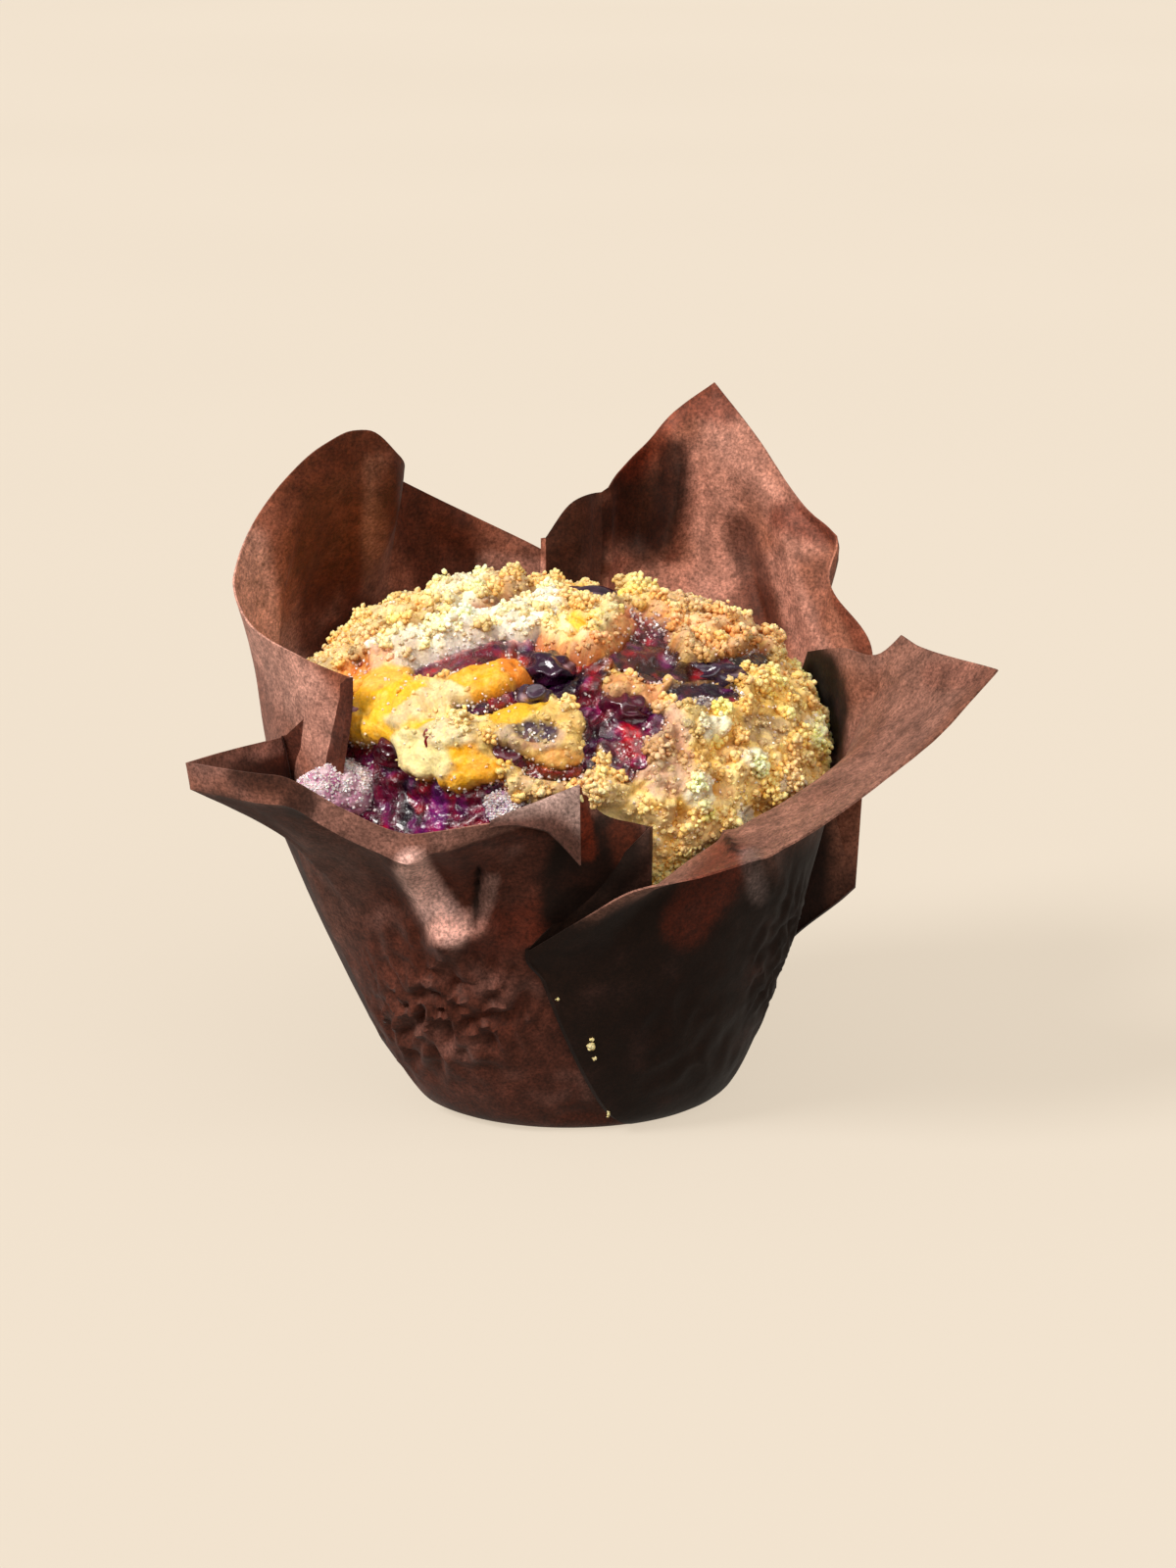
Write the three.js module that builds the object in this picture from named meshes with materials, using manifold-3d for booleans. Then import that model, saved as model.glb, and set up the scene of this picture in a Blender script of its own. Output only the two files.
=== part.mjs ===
import * as THREE from "three";
import { mergeVertices } from "three/addons/utils/BufferGeometryUtils.js";
import Module from "manifold-3d";

const wasm = await Module();
wasm.setup();

// A streusel berry muffin standing in its tulip-folded paper case.
// Millimetres, +Z up, origin at the middle of the flat base, -Y faces the viewer.

// Sizes of the paper case
const SHEET = 0.45;
const BASE_RADIUS = 25;
const FLARE = 1.47;
const FLARE_POWER = 0.7;
const CORNER_CUT = 3;
const CORNER_HEIGHT = 1.2;
const WALL_LEAN = 0.06;
const PLEAT_PITCH = 1.0;
const PLEAT_RISE = 2.6;
const FOLD_BULGE = 0.6;
const COLUMN_STEP = 8;
const WALL_ROWS = [0, 0.03, 0.12, 0.38, 0.7, 1];
const PETAL_ROWS = 4;
const FLOOR = 0.5;
const FLOOR_RADIUS = 22.4;

// Sizes of the muffin
const SHOULDER_HEIGHT = 51;
const DOME_RISE = 34;
const DOME_POWER = 2.6;
const CLEARANCE = 0.9;
const SHOULDER_SHARE = 0.45;

const RAD = Math.PI / 180;
const PLAIN = { brim: 2, start: 71 };

// The free edge of each petal, counter-clockwise as seen from above, from the
// outer crease of one pleat to the inner crease of the next. Each entry is a
// named place on the edge: azimuth, reach from the axis, height, lean of the
// paper there above the horizontal, and the height where it leaves the muffin.
// under: pleat layers that lie over it; brim: length of the upturned edge;
// start: lean of the paper where it leaves the muffin.
const rightFront = {
  base: [298, 377],
  edge: [
    { az: 261.3, reach: 43.2, height: 36.1, lean: 70, leave: 30, under: 0 },
    { az: 273.5, reach: 48.6, height: 43.4, lean: 58, leave: 34, under: 0 },
    { az: 280.2, reach: 52.3, height: 47.9, lean: 40, leave: 40, under: 0 },
    { az: 290.4, reach: 61.9, height: 52.6, lean: 10, leave: 47, under: 0 },
    { az: 299.4, reach: 68.9, height: 57.6, lean: 8, leave: 51, under: 0 },
    { az: 309.6, reach: 72.7, height: 65.0, lean: 18, leave: 54, under: 0 },
    { az: 319.0, reach: 76.2, height: 72.4, lean: 28, leave: 56, under: 0 },
    { az: 329.8, reach: 79.5, height: 82.1, lean: 34, leave: 57, under: 0, tip: true },
    { az: 339.1, reach: 61.8, height: 82.0, lean: 52, leave: 58, under: 0.4 },
    { az: 344.0, reach: 57.9, height: 82.5, lean: 62, leave: 58, under: 0.8, tip: true },
    { az: 345.0, reach: 54.6, height: 79.0, lean: 66, leave: 58, under: 1.2 },
    { az: 352.8, reach: 47.7, height: 78.5, lean: 82, leave: 58, under: 2 },
    { az: 365.5, reach: 42.6, height: 76.3, lean: 93, leave: 56, under: 2, tip: true },
    { az: 374.3, reach: 42.4, height: 70.3, lean: 92, leave: 50, under: 2 },
  ],
};
const backRight = {
  base: [17, 102],
  edge: [
    { az: 9.2, reach: 49.8, height: 33.9, lean: 42, leave: 20, under: 0 },
    { az: 10.2, reach: 51.0, height: 50.2, lean: 75, leave: 28, under: 0 },
    { az: 13.3, reach: 52.3, height: 62.5, lean: 80, leave: 38, under: 0 },
    { az: 17.2, reach: 54.1, height: 74.6, lean: 82, leave: 46, under: 0 },
    { az: 28.2, reach: 50.7, height: 85.1, lean: 90, leave: 53, under: 0 },
    { az: 31.2, reach: 54.0, height: 91.8, lean: 84, leave: 55, under: 0, tip: true },
    { az: 39.8, reach: 53.1, height: 96.3, lean: 88, leave: 57, under: 0 },
    { az: 51.6, reach: 53.6, height: 106.4, lean: 86, leave: 58, under: 0 },
    { az: 62.9, reach: 56.2, height: 115.6, lean: 80, leave: 58, under: 0.3, tip: true },
    { az: 69.5, reach: 53.4, height: 110.4, lean: 84, leave: 58, under: 1 },
    { az: 75.9, reach: 51.6, height: 103.3, lean: 88, leave: 58, under: 1.6 },
    { az: 83.0, reach: 46.3, height: 97.5, lean: 100, leave: 58, under: 2, tip: true },
    { az: 89.6, reach: 50.0, height: 94.5, lean: 90, leave: 58, under: 2 },
    { az: 95.4, reach: 50.2, height: 87.8, lean: 88, leave: 58, under: 2 },
  ],
};
const backLeft = {
  base: [102, 212],
  edge: [
    { az: 80.0, reach: 54.5, height: 76.0, lean: 86, leave: 54, under: 0 },
    { az: 95.3, reach: 54.2, height: 84.7, lean: 88, leave: 57, under: 0 },
    { az: 110.1, reach: 52.2, height: 92.0, lean: 90, leave: 58, under: 0 },
    { az: 127.5, reach: 50.4, height: 100.0, lean: 92, leave: 58, under: 0, tip: true },
    { az: 143.9, reach: 36.9, height: 107.2, lean: 104, leave: 58, under: 0 },
    { az: 153.5, reach: 38.0, height: 112.0, lean: 102, leave: 58, under: 0 },
    { az: 159.0, reach: 39.6, height: 112.4, lean: 100, leave: 58, under: 0 },
    { az: 164.0, reach: 43.6, height: 110.2, lean: 96, leave: 58, under: 0 },
    { az: 169.5, reach: 49.3, height: 104.8, lean: 88, leave: 50, under: 0.2, start: 80 },
    { az: 174.7, reach: 54.6, height: 97.1, lean: 80, leave: 48, under: 0.3, start: 80 },
    { az: 182.0, reach: 56.8, height: 89.9, lean: 74, leave: 47, under: 0.4, start: 79 },
    { az: 194.5, reach: 56.0, height: 83.9, lean: 70, leave: 49, under: 1.4, start: 78 },
    { az: 211.9, reach: 52.9, height: 81.0, lean: 82, leave: 50, under: 2, start: 76 },
    { az: 222.4, reach: 49.7, height: 79.2, lean: 90, leave: 50, under: 2, start: 74 },
  ],
};
const leftFront = {
  base: [212, 298],
  edge: [
    { az: 205.0, reach: 52.6, height: 67.0, lean: 76, leave: 45, under: 0 },
    { az: 210.4, reach: 63.1, height: 67.3, lean: 45, leave: 42, under: 0, brim: 3 },
    { az: 216.3, reach: 76.1, height: 67.9, lean: 28, leave: 38, under: 0, brim: 4.5, tip: true },
    { az: 229.9, reach: 71.9, height: 68.1, lean: 24, leave: 40, under: 0, brim: 5 },
    { az: 238.3, reach: 68.1, height: 63.4, lean: 18, leave: 43, under: 0, brim: 5 },
    { az: 247.7, reach: 62.7, height: 58.7, lean: 22, leave: 46, under: 0.6, brim: 4 },
    { az: 257.4, reach: 57.4, height: 59.2, lean: 45, leave: 47, under: 1.6, brim: 2.5, tip: true },
    { az: 266.4, reach: 51.9, height: 62.9, lean: 84, leave: 46, under: 2 },
    { az: 272.1, reach: 48.6, height: 65.0, lean: 105, leave: 45, under: 2, tip: true },
    { az: 276.1, reach: 48.0, height: 60.4, lean: 99, leave: 45, under: 2 },
    { az: 285.7, reach: 48.6, height: 57.4, lean: 90, leave: 46, under: 2 },
  ],
};
const petals = [rightFront, backRight, backLeft, leftFront];

// Corner of the left front petal that is folded down over its outside: from
// and to which edge place, how far it hangs there, and how far it stands off
const turnedCorner = { petal: leftFront, from: 6, to: 8, hang: 11, standOff: 3.4, columns: 6, rows: 3 };

const clamp = (x, lo, hi) => Math.min(hi, Math.max(lo, x));
const mix = (a, b, t) => a + (b - a) * t;
const smooth = (t) => {
  const u = clamp(t, 0, 1);
  return u * u * (3 - 2 * u);
};

// Middle of the paper wall: radius and outward slope at a height
function wallRadius(z) {
  return BASE_RADIUS + FLARE * z ** FLARE_POWER - CORNER_CUT * Math.exp(-z / CORNER_HEIGHT);
}
function wallCentre(z) {
  return -WALL_LEAN * Math.min(z, SHOULDER_HEIGHT);
}
function wallNormal(z) {
  const slope = (wallRadius(z + 0.05) - wallRadius(z - 0.05)) / 0.1;
  const length = Math.hypot(1, slope);
  return [1 / length, -slope / length];
}
function wallPoint(angle, z, inset) {
  const [nr, nz] = wallNormal(z);
  const r = wallRadius(z) - nr * inset;
  return new THREE.Vector3(wallCentre(z) + r * Math.cos(angle), r * Math.sin(angle), z - nz * inset);
}

// Smooth run of a named quantity along a petal's edge, with corners at tips
function runAlong(edge, key, i, t) {
  const value = (j) => edge[j][key] ?? PLAIN[key];
  const span = (j) => edge[j + 1].s - edge[j].s;
  const slope = (j) => (value(j + 1) - value(j)) / span(j);
  const tangent = (j, side) => {
    const corner = j === 0 || j === edge.length - 1 || edge[j].tip;
    if (corner) return slope(side > 0 ? j : j - 1);
    const a = slope(j - 1);
    const b = slope(j);
    if (a * b <= 0 && key !== "x" && key !== "y") return 0;
    return (a * span(j) + b * span(j - 1)) / (span(j) + span(j - 1));
  };
  const h = span(i);
  const m0 = tangent(i, 1) * h;
  const m1 = tangent(i + 1, -1) * h;
  const t2 = t * t;
  const t3 = t2 * t;
  return (2 * t3 - 3 * t2 + 1) * value(i) + (t3 - 2 * t2 + t) * m0
    + (3 * t2 - 2 * t3) * value(i + 1) + (t3 - t2) * m1;
}

function turnNear(angle, target) {
  return angle + 360 * Math.round((target - angle) / 360);
}

// Adds to each edge place its position, run length and azimuth at the base
function prepare(petal) {
  let s = 0;
  petal.edge.forEach((e, i) => {
    e.x = e.reach * Math.cos(e.az * RAD);
    e.y = e.reach * Math.sin(e.az * RAD);
    if (i) {
      const p = petal.edge[i - 1];
      s += Math.hypot(e.x - p.x, e.y - p.y, e.height - p.height);
    }
    e.s = s;
  });
  const [from, to] = petal.base;
  let far = 0;
  const first = petal.edge[0].az;
  const last = petal.edge[petal.edge.length - 1].az;
  for (const e of petal.edge) {
    far = Math.max(far, (e.az - first) / (last - first));
    e.base = mix(from, to, 0.35 * (e.s / s) + 0.65 * far);
  }
}
petals.forEach(prepare);

// One rib of the sheet, from the edge of the base up the wall and out to the rim
function rib(place, layer, shift) {
  const { x, y, height, leave, lean, base, brim, start: startLean } = place;
  const centre = wallCentre(leave);
  let rimTurn = Math.atan2(y, x - centre) / RAD;
  rimTurn = turnNear(rimTurn, base);
  const share = clamp((leave / height) ** 0.6, 0.4, 0.94);
  const leaveTurn = mix(base, rimTurn, share);
  const low = 0.25;
  const rLow = wallRadius(low);
  const rLeave = wallRadius(leave);
  const from = [rLow * Math.cos(base * RAD), rLow * Math.sin(base * RAD)];
  const to = [rLeave * Math.cos(leaveTurn * RAD), rLeave * Math.sin(leaveTurn * RAD)];
  const onWall = (z) => {
    const u = (wallRadius(z) - rLow) / (rLeave - rLow);
    const angle = Math.atan2(mix(from[1], to[1], u), mix(from[0], to[0], u));
    const pitch = PLEAT_PITCH * smooth(z / PLEAT_RISE);
    const p = wallPoint(angle, z, layer * pitch);
    const side = shift * smooth(z / PLEAT_RISE);
    p.x -= side * Math.sin(angle);
    p.y += side * Math.cos(angle);
    return p;
  };
  const rFoot = FLOOR_RADIUS - 1.4;
  const foot = new THREE.Vector3(
    wallCentre(low) + rFoot * Math.cos(base * RAD),
    rFoot * Math.sin(base * RAD),
    FLOOR / 2,
  );
  const points = [foot, ...WALL_ROWS.map((w) => onWall(low + (leave - low) * w))];
  const start = points[points.length - 1];
  const drift = start.clone().sub(onWall(leave - 1.5)).normalize();
  const heading = Math.atan2(y, x - centre);
  const out = new THREE.Vector3(Math.cos(heading), Math.sin(heading), 0);
  const round = new THREE.Vector3(-out.y, out.x, 0);
  const along = out.clone().multiplyScalar(Math.cos(startLean * RAD))
    .addScaledVector(round, drift.dot(round));
  along.z = Math.sin(startLean * RAD);
  along.normalize();
  const end = out.clone().multiplyScalar(Math.cos(lean * RAD));
  end.z = Math.sin(lean * RAD);
  const face = round.clone().cross(end);
  const rim = new THREE.Vector3(x, y, height)
    .addScaledVector(face, -layer * PLEAT_PITCH)
    .addScaledVector(round, shift);
  const upturn = mix(lean, Math.max(lean, 80), clamp((brim - 2) / 1.5, 0, 1)) * RAD;
  const bend = rim.clone().addScaledVector(out, -brim * Math.cos(upturn));
  bend.z -= brim * Math.sin(upturn);
  const reach = bend.distanceTo(start);
  const b1 = start.clone().addScaledVector(along, 0.34 * reach);
  const b2 = bend.clone().addScaledVector(end, -0.3 * reach);
  for (let j = 1; j <= PETAL_ROWS; j++) {
    const t = j / PETAL_ROWS;
    const u = 1 - t;
    points.push(new THREE.Vector3()
      .addScaledVector(start, u * u * u)
      .addScaledVector(b1, 3 * u * u * t)
      .addScaledVector(b2, 3 * u * t * t)
      .addScaledVector(bend, t * t * t));
  }
  points.push(rim);
  return points;
}

const KEYS = ["x", "y", "height", "lean", "leave", "under", "base", "brim", "start"];
function placeAt(edge, i, t) {
  return Object.fromEntries(KEYS.map((key) => [key, runAlong(edge, key, i, t)]));
}

function petalGrid(petal) {
  const grid = [];
  petal.edge.forEach((e, i) => {
    if (i === petal.edge.length - 1) return;
    const steps = Math.max(1, Math.round((petal.edge[i + 1].s - e.s) / COLUMN_STEP));
    for (let j = 0; j < steps; j++) {
      const place = placeAt(petal.edge, i, j / steps);
      grid.push(rib(place, clamp(place.under, 0, 2), 0));
    }
  });
  const end = placeAt(petal.edge, petal.edge.length - 2, 1);
  grid.push(rib(end, 2, 0));
  return grid;
}

// The turned-back layer of a pleat, from the inner crease to the outer one
function foldGrid(before, after) {
  const inner = placeAt(before.edge, before.edge.length - 2, 1);
  const outer = placeAt(after.edge, 0, 0);
  outer.base = turnNear(outer.base, inner.base);
  const between = (t) => Object.fromEntries(KEYS.map((key) => [key, mix(inner[key], outer[key], t)]));
  return [
    rib(inner, 2, -0.2),
    rib(inner, 1.5, FOLD_BULGE),
    rib(inner, 1, 0),
    rib(between(0.33), 1, 0),
    rib(between(0.67), 1, 0),
    rib(outer, 1, 0),
    rib(outer, 0.5, -FOLD_BULGE),
    rib(outer, 0, 0.2),
  ];
}

// The folded-down corner, from its fold line to its free edge
function cornerGrid() {
  const grid = [];
  for (let i = 0; i <= turnedCorner.columns; i++) {
    const along = i / turnedCorner.columns;
    const at = turnedCorner.from + along * (turnedCorner.to - turnedCorner.from);
    const j = Math.min(Math.floor(at), turnedCorner.to - 1);
    const place = placeAt(turnedCorner.petal.edge, j, at - j);
    const points = rib(place, clamp(place.under, 0, 2), 0);
    const fold = points[points.length - 1];
    const out = new THREE.Vector3(place.x, place.y, 0).normalize();
    const column = [fold.clone().addScaledVector(out, -SHEET / 3)];
    for (let k = 0; k <= turnedCorner.rows; k++) {
      const down = k / turnedCorner.rows;
      const p = fold.clone().addScaledVector(out, FOLD_BULGE + down * (1 + turnedCorner.standOff * along));
      p.z += 0.2 - down * (0.8 + turnedCorner.hang * along ** 1.6);
      column.push(p);
    }
    grid.push(column);
  }
  return grid;
}

function toSolid(positions, triangles) {
  const make = (tri) => new wasm.Manifold(new wasm.Mesh({
    numProp: 3,
    vertProperties: new Float32Array(positions),
    triVerts: new Uint32Array(tri),
  }));
  const solid = make(triangles);
  if (solid.volume() > 0) return solid;
  const flipped = [];
  for (let i = 0; i < triangles.length; i += 3) {
    flipped.push(triangles[i], triangles[i + 2], triangles[i + 1]);
  }
  return make(flipped);
}

// Gives a grid of points a thickness, half to each side
function sheetSolid(grid, thickness) {
  const cols = grid.length;
  const rows = grid[0].length;
  const positions = [];
  const way = (a, b) => b.clone().sub(a).normalize();
  for (const side of [0.5, -0.5]) {
    for (let i = 0; i < cols; i++) {
      for (let j = 0; j < rows; j++) {
        const across = new THREE.Vector3();
        if (i > 0) across.add(way(grid[i - 1][j], grid[i][j]));
        if (i < cols - 1) across.add(way(grid[i][j], grid[i + 1][j]));
        const up = new THREE.Vector3();
        if (j > 0) up.add(way(grid[i][j - 1], grid[i][j]));
        if (j < rows - 1) up.add(way(grid[i][j], grid[i][j + 1]));
        const normal = across.cross(up).normalize();
        const p = grid[i][j].clone().addScaledVector(normal, side * thickness);
        positions.push(p.x, p.y, p.z);
      }
    }
  }
  const half = cols * rows;
  const id = (i, j, side) => side * half + i * rows + j;
  const triangles = [];
  const quad = (a, b, c, d) => triangles.push(a, b, c, a, c, d);
  for (let i = 0; i < cols - 1; i++) {
    for (let j = 0; j < rows - 1; j++) {
      quad(id(i, j, 0), id(i + 1, j, 0), id(i + 1, j + 1, 0), id(i, j + 1, 0));
      quad(id(i, j, 1), id(i, j + 1, 1), id(i + 1, j + 1, 1), id(i + 1, j, 1));
    }
    quad(id(i, 0, 1), id(i + 1, 0, 1), id(i + 1, 0, 0), id(i, 0, 0));
    quad(id(i, rows - 1, 0), id(i + 1, rows - 1, 0), id(i + 1, rows - 1, 1), id(i, rows - 1, 1));
  }
  for (let j = 0; j < rows - 1; j++) {
    quad(id(0, j, 0), id(0, j + 1, 0), id(0, j + 1, 1), id(0, j, 1));
    quad(id(cols - 1, j, 1), id(cols - 1, j + 1, 1), id(cols - 1, j + 1, 0), id(cols - 1, j, 0));
  }
  return toSolid(positions, triangles);
}

function fromGeometry(geometry) {
  const bare = geometry.clone();
  bare.deleteAttribute("normal");
  bare.deleteAttribute("uv");
  const merged = mergeVertices(bare, 1e-4);
  return toSolid(merged.attributes.position.array, Array.from(merged.index.array));
}

function paperCase() {
  const floor = new THREE.CylinderGeometry(FLOOR_RADIUS, FLOOR_RADIUS, FLOOR, 40);
  floor.rotateX(Math.PI / 2);
  floor.translate(0, 0, FLOOR / 2);
  let solid = fromGeometry(floor);
  petals.forEach((petal, i) => {
    solid = solid.add(sheetSolid(petalGrid(petal), SHEET));
    const before = petals[(i + petals.length - 1) % petals.length];
    const fold = foldGrid(before, petal).map((points) => points.slice(2));
    solid = solid.add(sheetSolid(fold, SHEET * 0.8));
  });
  return solid.add(sheetSolid(cornerGrid(), SHEET * 0.8));
}

// Even random draws from a fixed seed
function draws(seed) {
  let state = seed;
  return () => {
    state = (state * 1664525 + 1013904223) % 4294967296;
    return state / 4294967296;
  };
}
// Soft unevenness from a few crossed waves, between about -1 and 1
function waves(x, y, z, pitch) {
  const k = (2 * Math.PI) / pitch;
  return (Math.sin(k * (x + 0.4 * y) + 1.3) * Math.cos(k * (0.9 * y - 0.5 * z) + 0.4)
    + Math.sin(k * (0.7 * z - 0.8 * x) + 2.1) * Math.cos(k * (0.6 * x + y) + 5.2)) / 2;
}

// Crust domes (+) and jam hollows (-) on the top: middle x, y, radius and rise
const relief = [
  { x: -30, y: -21, radius: 9, rise: 2.6 },
  { x: -13, y: -24, radius: 8, rise: 2.4 },
  { x: -6, y: -34, radius: 8, rise: 2.2 },
  { x: -18, y: -34, radius: 7, rise: 1.8 },
  { x: -24, y: -8, radius: 11, rise: 2.4 },
  { x: -14, y: 8, radius: 17, rise: 2.6 },
  { x: 2, y: -10, radius: 9, rise: 1.8 },
  { x: 19, y: 2, radius: 11, rise: 2.4 },
  { x: 33, y: -10, radius: 9, rise: 2.0 },
  { x: 24, y: -29, radius: 12, rise: 2.4 },
  { x: 12, y: 20, radius: 12, rise: 2.0 },
  { x: -28, y: -34, radius: 8, rise: -1.6 },
  { x: -4, y: -27, radius: 5, rise: -1.8 },
  { x: 8, y: -33, radius: 6, rise: -1.8 },
  { x: 22, y: -20, radius: 6, rise: -1.4 },
];

function muffinPoint(angle, u) {
  const domeCentre = wallCentre(SHOULDER_HEIGHT);
  const inset = (z) => 2 * PLEAT_PITCH * smooth(z / PLEAT_RISE) + SHEET / 2 + CLEARANCE;
  const [nrTop] = wallNormal(SHOULDER_HEIGHT);
  const domeRadius = wallRadius(SHOULDER_HEIGHT) - nrTop * inset(SHOULDER_HEIGHT);
  if (u < SHOULDER_SHARE) {
    const z = 0.3 + (SHOULDER_HEIGHT - 0.3) * (u / SHOULDER_SHARE) ** 1.8;
    return wallPoint(angle, z, inset(z));
  }
  const t = (u - SHOULDER_SHARE) / (1 - SHOULDER_SHARE);
  const rho = Math.cos(t * Math.PI / 2) ** 0.8;
  const z = SHOULDER_HEIGHT + DOME_RISE * (1 - rho ** DOME_POWER) ** (1 / DOME_POWER);
  const x = domeCentre + domeRadius * rho * Math.cos(angle);
  const y = domeRadius * rho * Math.sin(angle);
  let rise = 0;
  for (const m of relief) {
    const d = Math.hypot(x - m.x, y - m.y) / m.radius;
    if (d < 1) rise += m.rise * (1 - d * d) ** 2;
  }
  for (const patch of streusel) {
    const d = Math.hypot(x - patch.x, y - patch.y) / (1.3 * patch.spread);
    if (d < 1) rise += (1 - d * d) * (0.5 + 0.9 * waves(x, y, z, 9.5) + 0.7 * waves(y, z, x, 6.3));
  }
  rise += 0.5 * waves(x, y, z, 13) + 0.3 * waves(y, z, x, 7);
  rise *= smooth((z - SHOULDER_HEIGHT - 1) / 9);
  const tilt = rho ** 3;
  return new THREE.Vector3(
    x + rise * 0.6 * tilt * Math.cos(angle),
    y + rise * 0.6 * tilt * Math.sin(angle),
    z + rise * (1 - 0.5 * tilt),
  );
}

function muffinBody(turns, sideRows, domeRows) {
  const positions = [];
  const triangles = [];
  const rows = sideRows + domeRows;
  const first = muffinPoint(0, 0);
  positions.push(0, 0, first.z);
  for (let j = 0; j < rows; j++) {
    const onSide = (SHOULDER_SHARE * j) / sideRows;
    const onDome = SHOULDER_SHARE + ((1 - SHOULDER_SHARE) * (j - sideRows)) / domeRows;
    for (let i = 0; i < turns; i++) {
      const p = muffinPoint((2 * Math.PI * i) / turns, j < sideRows ? onSide : onDome);
      positions.push(p.x, p.y, p.z);
    }
  }
  const top = muffinPoint(0, 1);
  positions.push(top.x, top.y, top.z);
  const id = (i, j) => 1 + j * turns + (i % turns);
  for (let i = 0; i < turns; i++) {
    triangles.push(0, id(i + 1, 0), id(i, 0));
    for (let j = 0; j < rows - 1; j++) {
      triangles.push(id(i, j), id(i + 1, j), id(i + 1, j + 1));
      triangles.push(id(i, j), id(i + 1, j + 1), id(i, j + 1));
    }
    triangles.push(id(i, rows - 1), id(i + 1, rows - 1), 1 + rows * turns);
  }
  return toSolid(positions, triangles);
}

// Height of the finished crust over a place on the top
function crustHeight(x, y) {
  const domeCentre = wallCentre(SHOULDER_HEIGHT);
  const angle = Math.atan2(y, x - domeCentre);
  const far = Math.hypot(x - domeCentre, y);
  let lo = 0.46;
  let hi = 1;
  for (let k = 0; k < 24; k++) {
    const mid = (lo + hi) / 2;
    const p = muffinPoint(angle, mid);
    if (Math.hypot(p.x - domeCentre, p.y) > far) lo = mid;
    else hi = mid;
  }
  return muffinPoint(angle, (lo + hi) / 2).z;
}

// A lumpy ball: radii along x, y and z, with bumps from a seeded draw
function lumpGeometry(detail, size, bump, seed) {
  const ball = mergeVertices(stripped(new THREE.IcosahedronGeometry(1, detail)), 1e-4);
  const next = draws(seed);
  const wave = [0, 1, 2].map(() => new THREE.Vector3(next() * 5 - 2.5, next() * 5 - 2.5, next() * 5 - 2.5));
  const p = ball.attributes.position;
  for (let i = 0; i < p.count; i++) {
    const v = new THREE.Vector3().fromBufferAttribute(p, i).normalize();
    let swell = 1;
    for (const w of wave) swell += bump * Math.sin(v.dot(w) * 1.6 + w.x);
    p.setXYZ(i, v.x * size[0] * swell, v.y * size[1] * swell, v.z * size[2] * swell);
  }
  return ball;
}
function stripped(geometry) {
  geometry.deleteAttribute("normal");
  geometry.deleteAttribute("uv");
  return geometry;
}

// Burst berries that show in the crust: middle, radii and turn
const berries = [
  { name: "berry_front_left", x: -33.5, y: -25.5, size: [4.8, 4.0, 3.4], turn: 30, seed: 3 },
  { name: "berry_front_edge", x: -28.5, y: -32.0, size: [4.2, 3.6, 3.4], turn: 70, seed: 5 },
  { name: "berry_front_red", x: -19.0, y: -38.2, size: [4.8, 3.4, 3.6], turn: 10, seed: 7 },
  { name: "berry_front_low", x: -10.2, y: -40.6, size: [3.8, 3.0, 3.4], turn: 0, seed: 11 },
  { name: "berry_sugared", x: -39.0, y: -18.8, size: [4.0, 4.4, 3.0], turn: 10, seed: 13 },
  { name: "berry_split_skin", x: -13.0, y: -16.5, size: [6.4, 2.6, 2.4], turn: 8, seed: 17 },
  { name: "berry_centre", x: -3.6, y: -26.0, size: [5.0, 3.8, 3.0], turn: 40, seed: 19 },
  { name: "berry_centre_right", x: 9.0, y: -33.8, size: [4.8, 3.6, 3.6], turn: 20, seed: 23 },
  { name: "berry_sunken", x: -5.6, y: -36.4, size: [3.2, 2.4, 2.6], turn: 0, seed: 29 },
  { name: "berry_right", x: 23.0, y: -20.5, size: [6.8, 2.8, 2.6], turn: -6, seed: 31 },
  { name: "berry_back", x: 4.5, y: 7.0, size: [5.2, 3.4, 2.6], turn: 0, seed: 37 },
  { name: "berry_left_back", x: -36.0, y: -8.5, size: [3.0, 4.0, 2.8], turn: 20, seed: 41 },
];

// Streusel clumps: patches of the top, how many, and their size
const streusel = [
  { x: -24, y: -8, spread: 9, count: 7, size: 2.8, seed: 101 },
  { x: -14, y: 6, spread: 14, count: 9, size: 3.0, seed: 103 },
  { x: -2, y: -13, spread: 8, count: 5, size: 2.4, seed: 105 },
  { x: 18, y: 1, spread: 11, count: 8, size: 2.9, seed: 107 },
  { x: 33, y: -10, spread: 7, count: 5, size: 2.7, seed: 109 },
  { x: 25, y: -28, spread: 11, count: 10, size: 2.8, seed: 111 },
  { x: 14, y: 22, spread: 14, count: 6, size: 3.0, seed: 113 },
  { x: -14, y: 27, spread: 13, count: 5, size: 2.9, seed: 115 },
];

function placed(geometry, x, y, z, turn, grow) {
  const copy = geometry.clone();
  copy.scale(grow[0], grow[1], grow[2]);
  copy.rotateZ(turn * RAD);
  copy.translate(x, y, z);
  return copy;
}

function berryGeometry(b, extra) {
  const grow = b.size.map((s) => (s + extra) / s);
  const z = crustHeight(b.x, b.y) - 0.25 * b.size[2];
  return placed(lumpGeometry(1, b.size, 0.05, b.seed), b.x, b.y, z, b.turn, grow);
}

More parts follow.
